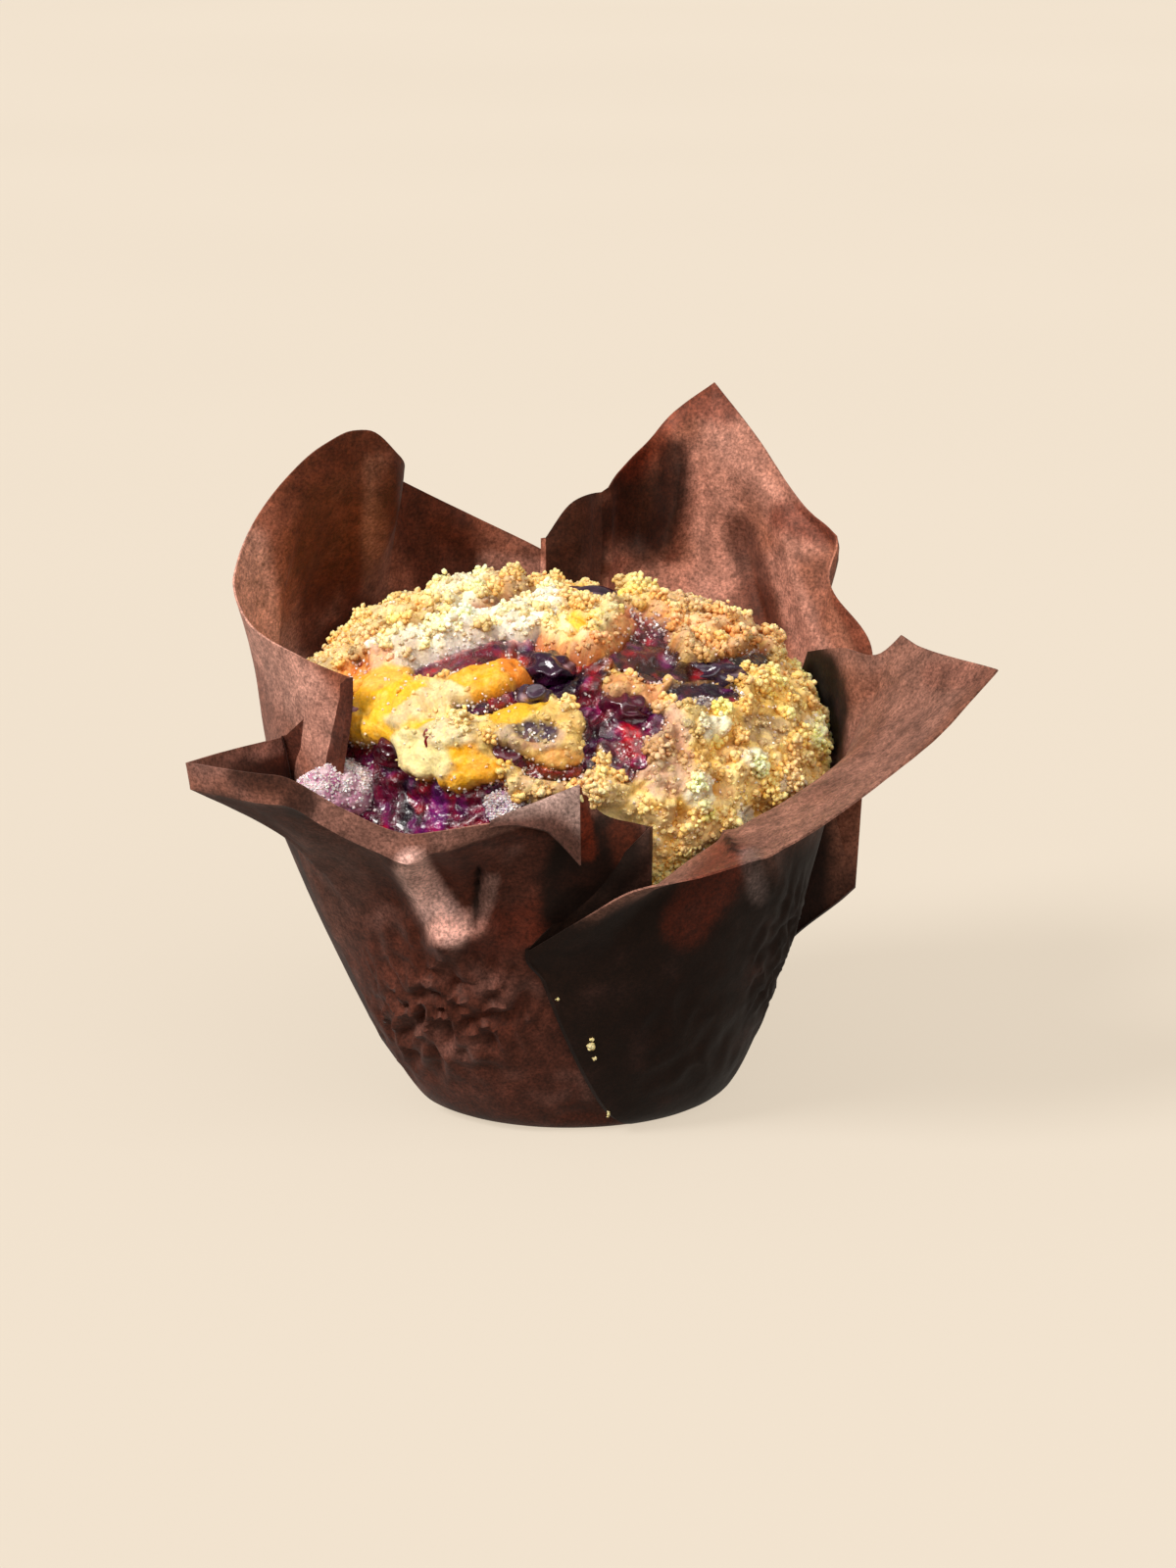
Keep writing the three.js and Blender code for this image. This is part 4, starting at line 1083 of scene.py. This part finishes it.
def icosphere(detail):
    """Vertices and triangles of a round ball of radius 1."""
    mesh = bpy.data.meshes.new("ball")
    bm = bmesh.new()
    bmesh.ops.create_icosphere(bm, subdivisions=detail, radius=1.0)
    bm.to_mesh(mesh)
    bm.free()
    verts = np.array([v.co for v in mesh.vertices])
    faces = np.array([p.vertices for p in mesh.polygons])
    bpy.data.meshes.remove(mesh)
    return verts, faces


def turned(rng, count):
    """Random turns, one 3 by 3 matrix each."""
    q = unit(rng.normal(size=(count, 4)))
    w, x, y, z = q.T
    return np.stack([
        np.stack([1 - 2 * (y * y + z * z), 2 * (x * y - z * w), 2 * (x * z + y * w)], axis=-1),
        np.stack([2 * (x * y + z * w), 1 - 2 * (x * x + z * z), 2 * (y * z - x * w)], axis=-1),
        np.stack([2 * (x * z - y * w), 2 * (y * z + x * w), 1 - 2 * (x * x + y * y)], axis=-1)], axis=1)


def scatter(
        name, material, shape, middles, sizes, tints, rng, up,
        rounded=False, bump=0.1, lobes=0.14, shade=1.0):
    """Makes one piece of copies of a small shape, each turned, stretched and dented its own way.

    The side that faces up gets a painted highlight, paler, and the side that lies in the hollow a painted
    shade, darker and more golden.
    """
    verts, faces = shape
    count = len(middles)
    stretch = sizes[:, None] * rng.uniform(0.75, 1.25, size=(count, 3))
    dents = 1 + bump * rng.normal(size=(count, len(verts)))
    for pitch in (2.2, 4.0):
        waves = np.einsum("vj,nj->nv", verts, pitch * unit(rng.normal(size=(count, 3))))
        dents += lobes * np.sin(waves + rng.uniform(0, 6.3, (count, 1)))
    local = verts[None] * dents[..., None] * stretch[:, None, :]
    local = np.einsum("nij,nvj->nvi", turned(rng, count), local)
    height = np.einsum("nvj,nj->nv", local, up) / sizes[:, None]
    # low is the painted shade on the side in the hollow, high the painted highlight on the side that faces
    # up
    low = (shade * smooth(0.5 - 0.9 * height))[..., None]
    high = (shade * smooth(1.2 * height - 0.1))[..., None]
    colour = mix(tints[:, None, :], tints[:, None, :] * np.array([0.74, 0.52, 0.28]), low)
    colour = mix(colour, linear(255, 240, 186), 0.24 * high)
    world = local + middles[:, None, :]
    offset = (np.arange(count) * len(verts))[:, None, None]
    all_faces = (faces[None] + offset).reshape(-1, faces.shape[1])
    piece = to_object(name, world.reshape(-1, 3), all_faces, colour.reshape(-1, 3), rounded=rounded)
    put(piece, material, "crumb")


# Making objects

def to_object(name, verts, faces, tints, more_faces=(), sharp=0, rounded=True):
    """A mesh object from millimetres, with sharp edges over that angle unless it is 0."""
    mesh = bpy.data.meshes.new(name)
    all_faces = [list(map(int, f)) for f in faces] + [list(map(int, f)) for f in more_faces]
    mesh.from_pydata((verts * MM).tolist(), [], all_faces)
    mesh.update()
    mesh.polygons.foreach_set("use_smooth", [rounded] * len(mesh.polygons))
    if sharp:
        mesh.set_sharp_from_angle(angle=math.radians(sharp))
    layer = mesh.color_attributes.new("tint", "FLOAT_COLOR", "POINT")
    rgba = np.concatenate([clamp(tints), np.ones((len(tints), 1))], axis=1)
    layer.data.foreach_set("color", rgba.astype(np.float32).ravel())
    obj = bpy.data.objects.new(name, mesh)
    bpy.context.scene.collection.objects.link(obj)
    return obj


def joined(parts):
    """Several sets of vertices and faces as one."""
    verts, faces, total = [], [], 0
    for v, f in parts:
        verts.append(v)
        faces.append(f + total)
        total += len(v)
    return np.concatenate(verts), np.concatenate(faces)


def put(obj, material, slot, *nodes):
    obj.data.materials.append(material)
    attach(obj, "root")
    if nodes:
        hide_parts(*nodes)


# Materials

class Nodes:
    """A small helper that builds a shader tree."""

    def __init__(self, name):
        self.material = bpy.data.materials.new(name)
        self.material.use_nodes = True
        self.tree = self.material.node_tree
        self.shader = self.tree.nodes["Principled BSDF"]
        self.place = self.add("ShaderNodeTexCoord").outputs["Object"]

    def add(self, kind, **values):
        node = self.tree.nodes.new(kind)
        for key, value in values.items():
            setattr(node, key, value)
        return node

    def link(self, source, target):
        self.tree.links.new(source, target)

    def noise(self, size_mm, detail=3.0, rough=0.55, stretch=None):
        node = self.add("ShaderNodeTexNoise")
        node.inputs["Scale"].default_value = 1 / (size_mm * MM)
        node.inputs["Detail"].default_value = detail
        node.inputs["Roughness"].default_value = rough
        place = self.place
        if stretch:
            mapping = self.add("ShaderNodeMapping")
            mapping.inputs["Scale"].default_value = stretch
            self.link(place, mapping.inputs["Vector"])
            place = mapping.outputs["Vector"]
        self.link(place, node.inputs["Vector"])
        return node.outputs["Fac"]

    def cells(self, size_mm):
        node = self.add("ShaderNodeTexVoronoi")
        node.inputs["Scale"].default_value = 1 / (size_mm * MM)
        self.link(self.place, node.inputs["Vector"])
        return node.outputs["Distance"]

    def ramp(self, source, *stops):
        node = self.add("ShaderNodeValToRGB")
        elements = node.color_ramp.elements
        while len(elements) < len(stops):
            elements.new(0.5)
        for element, (at, value) in zip(elements, stops):
            element.position = at
            element.color = (*value, 1) if isinstance(value, tuple) else (value, value, value, 1)
        self.link(source, node.inputs["Fac"])
        return node.outputs["Color"]

    def times(self, colour, share, source, *stops):
        """The colour multiplied, by that share, with a ramp over the source."""
        node = self.add("ShaderNodeMix", data_type="RGBA", blend_type="MULTIPLY")
        node.inputs[0].default_value = share
        self.link(colour, node.inputs[6])
        self.link(self.ramp(source, *stops), node.inputs[7])
        return node.outputs[2]

    def tint(self):
        node = self.add("ShaderNodeAttribute", attribute_name="tint")
        return node.outputs["Color"]

    def bump(self, height, distance_mm, strength=1.0, below=None):
        node = self.add("ShaderNodeBump")
        node.inputs["Distance"].default_value = distance_mm * MM
        node.inputs["Strength"].default_value = strength
        self.link(height, node.inputs["Height"])
        if below is not None:
            self.link(below, node.inputs["Normal"])
        return node.outputs["Normal"]

    def done(self, colour, roughness, normal=None, **values):
        self.link(colour, self.shader.inputs["Base Color"])
        if isinstance(roughness, (int, float)):
            self.shader.inputs["Roughness"].default_value = roughness
        else:
            self.link(roughness, self.shader.inputs["Roughness"])
        if normal is not None:
            self.link(normal, self.shader.inputs["Normal"])
        for key, value in values.items():
            self.shader.inputs[key].default_value = value
        return self.material


def paper_material():
    n = Nodes("paper")
    mottled = n.times(n.tint(), 0.75, n.noise(2.6, 4, 0.65), (0.32, 0.52), (0.70, 1.55))
    speckled = n.times(mottled, 0.8, n.noise(0.55, 3, 0.7), (0.34, 0.45), (0.68, 1.80))
    fibres = n.noise(1.1, 3, 0.65, stretch=(1.0, 1.0, 4.0))
    colour = n.times(speckled, 0.7, fibres, (0.35, 0.85), (0.70, 1.22))
    roughness = n.ramp(n.noise(5.0, 3, 0.6), (0.30, 0.50), (0.72, 0.66))
    normal = n.bump(n.noise(0.35, 2, 0.6), 0.05, 0.7)
    normal = n.bump(n.noise(1.8, 3, 0.6), 0.12, 0.6, normal)
    values = {"Specular IOR Level": 0.28, "Specular Tint": (1.0, 0.72, 0.62, 1), "Sheen Weight": 0.04,
              "Sheen Roughness": 0.4}
    return n.done(colour, roughness, normal, **values)


def cake_material(name, gloss=0.62, soft=0.10):
    n = Nodes(name)
    colour = n.times(n.tint(), 0.8, n.noise(0.5, 2, 0.6), (0.30, 0.80), (0.70, 1.22))
    normal = n.bump(n.cells(0.55), 0.14, 0.6)
    normal = n.bump(n.noise(0.3, 2, 0.6), 0.06, 0.6, normal)
    roughness = n.ramp(n.noise(0.8, 2, 0.5), (0.3, gloss - 0.14), (0.7, gloss + 0.1))
    values = {"Specular IOR Level": 0.45, "Subsurface Weight": soft, "Subsurface Scale": 0.001,
              "Subsurface Radius": (1.0, 0.55, 0.2)}
    return n.done(colour, roughness, normal, **values)


def jam_material():
    n = Nodes("jam")
    # The brightest blotches of this ramp, over 1, are painted glints, a painted highlight on the juice
    pulp = (0.36, (0.14, 0.10, 0.18)), (0.52, (0.85, 0.7, 0.8)), (0.72, (2.3, 1.4, 1.2))
    colour = n.times(n.tint(), 0.9, n.noise(2.4, 3, 0.6), *pulp)
    roughness = n.ramp(n.noise(0.9, 2, 0.6), (0.35, 0.07), (0.62, 0.16), (0.75, 0.45))
    normal = n.bump(n.noise(0.9, 3, 0.65), 0.42, 0.9)
    values = {"Specular IOR Level": 0.6, "Coat Weight": 0.6, "Coat Roughness": 0.04}
    return n.done(colour, roughness, normal, **values)


def sugar_material():
    n = Nodes("sugar")
    colour = n.times(n.tint(), 0.7, n.noise(0.4, 1), (0.3, 0.85), (0.7, 1.1))
    values = {"Specular IOR Level": 0.7, "Subsurface Weight": 0.2, "Subsurface Scale": 0.0006}
    return n.done(colour, 0.18, None, **values)


def berry_material():
    n = Nodes("berry_skin")
    bloom = (0.34, (0.35, 0.28, 0.4)), (0.55, (0.95, 0.85, 0.95)), (0.76, (2.0, 1.6, 1.7))
    colour = n.times(n.tint(), 0.8, n.noise(1.6, 3, 0.6), *bloom)
    roughness = n.ramp(n.noise(1.2, 2, 0.6), (0.35, 0.10), (0.65, 0.24), (0.78, 0.5))
    normal = n.bump(n.noise(0.7, 3, 0.6), 0.16, 0.7)
    values = {"Specular IOR Level": 0.6, "Coat Weight": 0.4, "Coat Roughness": 0.08}
    return n.done(colour, roughness, normal, **values)


def floor_material():
    n = Nodes("floor")
    colour = n.ramp(n.noise(400, 1, 0.4), (0.3, (0.165, 0.152, 0.137)), (0.7, (0.175, 0.162, 0.147)))
    glow = {"Emission Color": (*linear(243, 227, 205), 1), "Emission Strength": 0.74}
    return n.done(colour, 0.9, None, **{"Specular IOR Level": 0.1}, **glow)


# Each berry's node with its colour, the sugar on it and the depth of its wrinkles
BERRIES = {
    "berry_front_left": dict(tint=linear(140, 30, 20), frost=0.0, wrinkle=0.10),
    "berry_front_edge": dict(tint=linear(70, 10, 26), frost=0.0, wrinkle=0.16),
    "berry_front_red": dict(tint=linear(118, 14, 28), frost=0.0, wrinkle=0.12),
    "berry_front_low": dict(tint=linear(92, 12, 40), frost=0.15, wrinkle=0.14),
    "berry_sugared": dict(tint=linear(190, 150, 165), frost=1.0, wrinkle=0.08),
    "berry_split_skin": dict(tint=linear(112, 18, 34), frost=0.0, wrinkle=0.16),
    "berry_centre": dict(tint=linear(50, 10, 44), frost=0.0, wrinkle=0.26),
    "berry_centre_right": dict(tint=linear(84, 10, 40), frost=0.0, wrinkle=0.26),
    "berry_sunken": dict(tint=linear(66, 44, 62), frost=0.05, wrinkle=0.24),
    "berry_right": dict(tint=linear(54, 34, 54), frost=0.12, wrinkle=0.24),
    "berry_back": dict(tint=linear(54, 24, 48), frost=0.2, wrinkle=0.12),
    "berry_left_back": dict(tint=linear(62, 30, 64), frost=0.1, wrinkle=0.12),
}


def make_berries(material):
    ball, faces = icosphere(5)
    for seed, (node, look) in enumerate(BERRIES.items()):
        low, high = (np.array(corner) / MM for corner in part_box(node))
        size = (high - low) / 2
        middle = (high + low) / 2
        at = ball * size.min()
        swell = 1 - look["wrinkle"] * np.abs(noise(at, 3.0, 70 + seed)) * 2.4
        swell += 0.10 * noise(at, 4.5, 90 + seed) + 0.05 * noise(at, 1.4, 110 + seed)
        swell = np.minimum(swell, 1.02)
        verts = middle + ball * size * swell[:, None]
        frost = smooth((noise(at, 3.0, 130 + seed) + look["frost"] * 0.9 - 0.4) / 0.5)
        tint = paint(look["tint"], FROST, 0.75 * frost)
        put(to_object(node + "_fruit", verts, faces, tint), material, "berry", node)


def make_paper():
    """The whole paper case, kept within the box of the CAD."""
    parts = paper_parts()
    verts, faces = joined([(v, f) for _, v, f, _ in parts])
    verts = np.clip(verts, *(np.array(corner) / MM for corner in cad_box))
    tint = np.concatenate([paper_tint(name, v, brim) for name, v, _, brim in parts])
    put(to_object("paper", verts, faces, tint, sharp=50), paper_material(), "paper", "paper_case")
    return verts


# Crumbs that stick to the outside of the paper: place in the photo and size in
# millimetres, each of them a few grains
STUCK_CRUMBS = [(607, 1075, 0.9), (604, 1066, 0.5), (612, 1086, 0.5), (565, 1026, 0.4), (622, 1141, 0.6)]
STUCK_GRAINS = 7
NEAR_PIXELS = 8


def make_stuck_crumbs(paper, material):
    rng = np.random.default_rng(401)
    px, py = project(paper)
    middles, sizes = [], []
    for x, y, size in STUCK_CRUMBS:
        near = np.nonzero(np.hypot(px - x, py - y) < NEAR_PIXELS)[0]
        front = paper[near[np.argmax(paper[near] @ BACK)]]
        for _ in range(STUCK_GRAINS):
            middles.append(front + BACK * 0.2 + rng.normal(scale=size * 0.4, size=3) * (1, 0.3, 1))
            sizes.append(size * rng.uniform(0.25, 0.5))
    tints = linear(236, 206, 140) * rng.uniform(0.8, 1.1, (len(sizes), 1))
    up = np.tile(BACK, (len(sizes), 1))
    scatter("stuck_crumbs", material, icosphere(2), np.array(middles), np.array(sizes), tints, rng, up, True)


def pick(rng, weights, count):
    """Grid points drawn at random by their weights."""
    share = weights.ravel() / weights.sum()
    return rng.choice(share.size, size=count, p=share)


# Kinds of streusel crumb: how many, from and to which radius in millimetres, and
# for those that cling together the radius of their heaps and how many make each
STREUSEL = [
    dict(name="streusel_heaps", seed=201, detail=1, count=9400, size=(0.42, 0.66), bump=0.05,
         heap=(1.0, 2.3), each=25),
    dict(name="streusel_clusters", seed=205, detail=2, count=2300, size=(0.40, 0.72), bump=0.09,
         heap=(0.7, 1.5), each=11),
    dict(name="streusel_grains", seed=202, detail=2, count=1800, size=(0.36, 0.76), bump=0.12, sink=0.15),
    dict(name="streusel_fine", seed=203, detail=1, count=6000, size=(0.20, 0.44), bump=0.16, sink=0.05),
]
# Azimuth of the gap between the front petals, where crumbs lie down to the shoulder
GAP_TURN = 294.0
FRONT_CRUMBS = 1100
# How the heaps differ in colour from the crust under them, and the cream of the painted highlight on their
# tops
GOLDEN = np.array([1.18, 0.975, 0.63])
CREAMY_HIGHLIGHT = linear(255, 245, 210)


def heaps(rng, kind, weights, places, up):
    """Grid points, middles and heights of crumbs that cling together over low rounded heaps."""
    count = kind["count"]
    number = count // kind["each"]
    centre = pick(rng, weights, number)
    radius = rng.uniform(*kind["heap"], number)
    heap = rng.choice(number, size=count, p=radius ** 2 / (radius ** 2).sum())
    axis = up[centre[heap]]
    way = unit(rng.normal(size=(count, 3)))
    side = (way * axis).sum(-1)
    way = way - axis * (2 * np.minimum(side + 0.15, 0))[:, None]
    lobes = 1 + 0.25 * np.sin(5 * way[:, 0] + heap) * np.sin(5 * way[:, 1] - heap)
    reach = rng.random(count) ** 0.25 * lobes
    middles = places[centre[heap]] + (radius[heap] * reach)[:, None] * way * 0.9 - axis * 0.3
    height = clamp((way * axis).sum(-1) * reach)
    return centre[heap], middles, height, rng.uniform(0.86, 1.14, number)[heap]


def make_grains(surface, points, normals, fields, material):
    """Crumbs of streusel heaped on the top, most of them on its heaps."""
    flat = surface.reshape(-1, 3)
    normal = normals.reshape(-1, 3)
    tint = fields["tint"].reshape(-1, 3)
    spread = np.linalg.norm(np.cross(np.gradient(surface, axis=0), np.gradient(surface, axis=1)), axis=-1)
    dry = clamp(1 - 1.4 * fields["jam"])
    above = points[..., 2] - SHOULDER_HEIGHT
    turn = np.degrees(np.arctan2(points[..., 1], points[..., 0])) % 360
    between = smooth((13 - np.abs(turn - GAP_TURN)) / 4) * smooth(above + 1)
    high = np.maximum(smooth((above - 2.6) / 3), between)
    crumbly = smooth((fields["grain"] - 0.2) / 0.7) ** 1.5 * dry * spread * high * (1 - fields["tucked"])
    heaped = crumbly * (0.25 + fields["height"])
    on_heaps = heaped * high ** 3 * fields["grain"] ** 3
    for kind in STREUSEL:
        rng = np.random.default_rng(kind["seed"])
        count = kind["count"]
        small, large = kind["size"]
        size = small + (large - small) * rng.random(count) ** 1.8
        if "heap" in kind:
            chosen, middles, height, tone = heaps(rng, kind, on_heaps, flat, normal)
            # Painted shade on the lower crumbs of each heap, painted highlight on the upper ones
            tints = tint[chosen] * (tone * (0.92 + 0.40 * height))[:, None] * GOLDEN
            tints = paint(tints, CREAMY_HIGHLIGHT, 0.36 * smooth(1.3 * height - 0.3))
        else:
            chosen = pick(rng, heaped, count)
            depth = size * (kind["sink"] + rng.uniform(-0.2, 0.4, count))
            middles = flat[chosen] + rng.normal(scale=0.2, size=(count, 3))
            middles -= normal[chosen] * depth[:, None]
            tints = tint[chosen] * rng.uniform(0.80, 1.16, size=(count, 1))
        scatter(
            kind["name"], material, icosphere(kind["detail"]), middles, size, tints, rng, normal[chosen],
            rounded="heap" in kind, bump=kind["bump"], shade=0.35 if "heap" in kind else 0.8)


def make_front_crumbs(material):
    """Crumbs on the part of the side that shows between the two front petals."""
    rng = np.random.default_rng(204)
    count = FRONT_CRUMBS
    angle = np.radians(rng.uniform(283, 308, count))
    z = rng.uniform(37, 53, count)
    middles = wall_point(angle, z, CAKE_INSET + 0.15)
    up = unit(middles * (1, 1, 0))
    size = 0.3 + 0.5 * rng.random(count) ** 1.6
    tints = mix(linear(244, 168, 44), linear(255, 226, 140), rng.random((count, 1)))
    scatter("streusel_front", material, icosphere(2), middles, size, tints, rng, up, bump=0.12)


# Where the batter has run over the edge of the paper: from and to, and half its
# thickness and width
OVERFLOW = dict(start=(-32.0, -29.0, 58.5), end=(-44.5, -31.0, 60.5), thick=4.2, wide=4.6)


def overflow_part():
    """The frosted tongue of cake that hangs over the left petal."""
    ball, faces = icosphere(6)
    start, end = np.array(OVERFLOW["start"]), np.array(OVERFLOW["end"])
    along = (end - start) / 2
    side = unit(np.cross(along, (0, 0, 1)))
    up = unit(np.cross(side, along))
    thin = 1 - 0.35 * smooth(ball[:, 0])[:, None]
    verts = (start + end) / 2 + ball[:, :1] * along * 1.15 + thin * (
        ball[:, 1:2] * side * OVERFLOW["wide"] + ball[:, 2:] * up * OVERFLOW["thick"])
    lumps, lump_tone = granules(verts + 0.4 * noise(verts, 2, 81)[:, None], 2.3, 82)
    crumbs, _ = granules(verts, 0.9, 83)
    out = unit(ball)
    verts = verts + out * (0.7 * clamp(lumps, -0.4) + 0.2 * clamp(crumbs, -0.4))[:, None]
    tone = clamp(0.5 + 0.9 * noise(verts, 3.2, 84) + 0.3 * (lump_tone - 0.5))[:, None]
    tint = mix(linear(112, 28, 78), PINK_FROST, tone)
    frost = (patches(verts, 2.4, 85, -0.25, 0.5) * smooth(out[:, 2] + 0.6))[:, None]
    tint = mix(tint, FROST, 0.7 * frost)
    return verts, faces, tint, out


CUBE = (
    np.array([[x, y, z] for x in (-0.5, 0.5) for y in (-0.5, 0.5) for z in (-0.5, 0.5)]),
    np.array([[0, 1, 3, 2], [4, 6, 7, 5], [0, 4, 5, 1], [2, 3, 7, 6], [0, 2, 6, 4], [1, 5, 7, 3]]),
)


# Sugar crystals on the top and on the tongue that hangs over the petal
TOP_CRYSTALS = 7000
TONGUE_CRYSTALS = 900


def make_sugar(surface, normals, fields, tongue, material):
    rng = np.random.default_rng(301)
    rim = fields["jam"] * (1 - fields["jam"])
    weights = 0.7 * fields["frost"] ** 2 + 0.03 * fields["jam"] + 0.4 * rim + 0.007
    chosen = pick(rng, weights, TOP_CRYSTALS)
    verts, _, tongue_tint, out = tongue
    extra = pick(rng, clamp(out[:, 2] + 0.4), TONGUE_CRYSTALS)
    places = np.concatenate([surface.reshape(-1, 3)[chosen], verts[extra]])
    up = np.concatenate([normals.reshape(-1, 3)[chosen], out[extra]])
    under = np.concatenate([fields["tint"].reshape(-1, 3)[chosen], tongue_tint[extra]])
    size = rng.uniform(0.16, 0.40, len(places))
    middles = places + up * (size * 0.35)[:, None]
    tints = mix(linear(248, 240, 236), under, rng.uniform(0.1, 0.75, (len(places), 1)))
    scatter("sugar_crystals", material, CUBE, middles, size, tints, rng, up, bump=0.08, lobes=0, shade=0)


def make_top():
    points, normals, fields, turn = top_surface()
    verts, faces, closing, tints = crust_part(points, normals, fields, turn)
    cake = cake_material("cake_crust")
    put(to_object("crust", verts, faces, tints, closing), cake, "crumb", "muffin")
    verts, faces, tints = jam_part(points, normals, fields)
    put(to_object("jam", verts, faces, tints, sharp=70), jam_material(), "berry")
    surface = crust_points(points, normals, fields)
    streusel = cake_material("streusel", 0.66, 0.32)
    make_grains(surface, points, normals, fields, streusel)
    make_front_crumbs(streusel)
    tongue = overflow_part()
    put(to_object("overflow", *tongue[:3]), cake, "crumb")
    raised = points + normals * (fields["lift"] + 0.2 * fields["jam"])[..., None]
    make_sugar(raised, normals, fields, tongue, sugar_material())
    return streusel


def make_camera():
    data = bpy.data.cameras.new("camera")
    data.lens = LENS
    data.sensor_width = SENSOR
    data.sensor_fit = "AUTO"
    data.clip_start = 0.05
    data.clip_end = 30
    camera = bpy.data.objects.new("camera", data)
    bpy.context.scene.collection.objects.link(camera)
    camera.location = Vector((LOOK_AT + BACK * DISTANCE) * MM)
    camera.rotation_euler = Vector(-BACK).to_track_quat("-Z", "Y").to_euler()
    bpy.context.scene.camera = camera


# Half the width of the floor, in metres
FLOOR_SIDE = 6.0


def make_studio():
    """A pale floor, a soft sky and two soft suns."""
    world = bpy.data.worlds.new("studio")
    world.use_nodes = True
    background = world.node_tree.nodes["Background"]
    background.inputs["Color"].default_value = (*linear(250, 240, 224), 1)
    background.inputs["Strength"].default_value = 0.34
    bpy.context.scene.world = world
    # Suns: name, strength, apparent size in degrees, the side they stand on, and colour
    lights = [
        ("key", 3.2, 22, (-0.62, -0.52, 0.68), (1.0, 0.975, 0.94)),
        ("fill", 1.35, 60, (0.30, -0.70, 0.70), (1.0, 0.98, 0.95)),
    ]
    for name, strength, spread, towards, colour in lights:
        sun = bpy.data.lights.new(name, "SUN")
        sun.energy = strength
        sun.angle = math.radians(spread)
        sun.color = colour
        lamp = bpy.data.objects.new(name, sun)
        lamp.rotation_euler = Vector(towards).to_track_quat("Z", "Y").to_euler()
        bpy.context.scene.collection.objects.link(lamp)
    bpy.context.scene.view_settings.view_transform = "Standard"
    side = FLOOR_SIDE
    corners = [(-side, -side, 0), (side, -side, 0), (side, side, 0), (-side, side, 0)]
    mesh = bpy.data.meshes.new("floor")
    mesh.from_pydata(corners, [], [(0, 1, 2, 3)])
    floor = bpy.data.objects.new("floor", mesh)
    mesh.materials.append(floor_material())
    bpy.context.scene.collection.objects.link(floor)
    floor.visible_diffuse = False
    floor.visible_glossy = False


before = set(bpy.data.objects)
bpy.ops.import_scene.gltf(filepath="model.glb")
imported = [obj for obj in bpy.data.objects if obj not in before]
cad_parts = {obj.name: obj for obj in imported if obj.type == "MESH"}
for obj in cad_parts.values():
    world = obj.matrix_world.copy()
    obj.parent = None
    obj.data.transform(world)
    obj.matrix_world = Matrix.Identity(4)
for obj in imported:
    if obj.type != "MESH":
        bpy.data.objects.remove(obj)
cad_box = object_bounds()
make_camera()
make_studio()
paper_points = make_paper()
crumb_material = make_top()
make_stuck_crumbs(paper_points, crumb_material)
make_berries(berry_material())
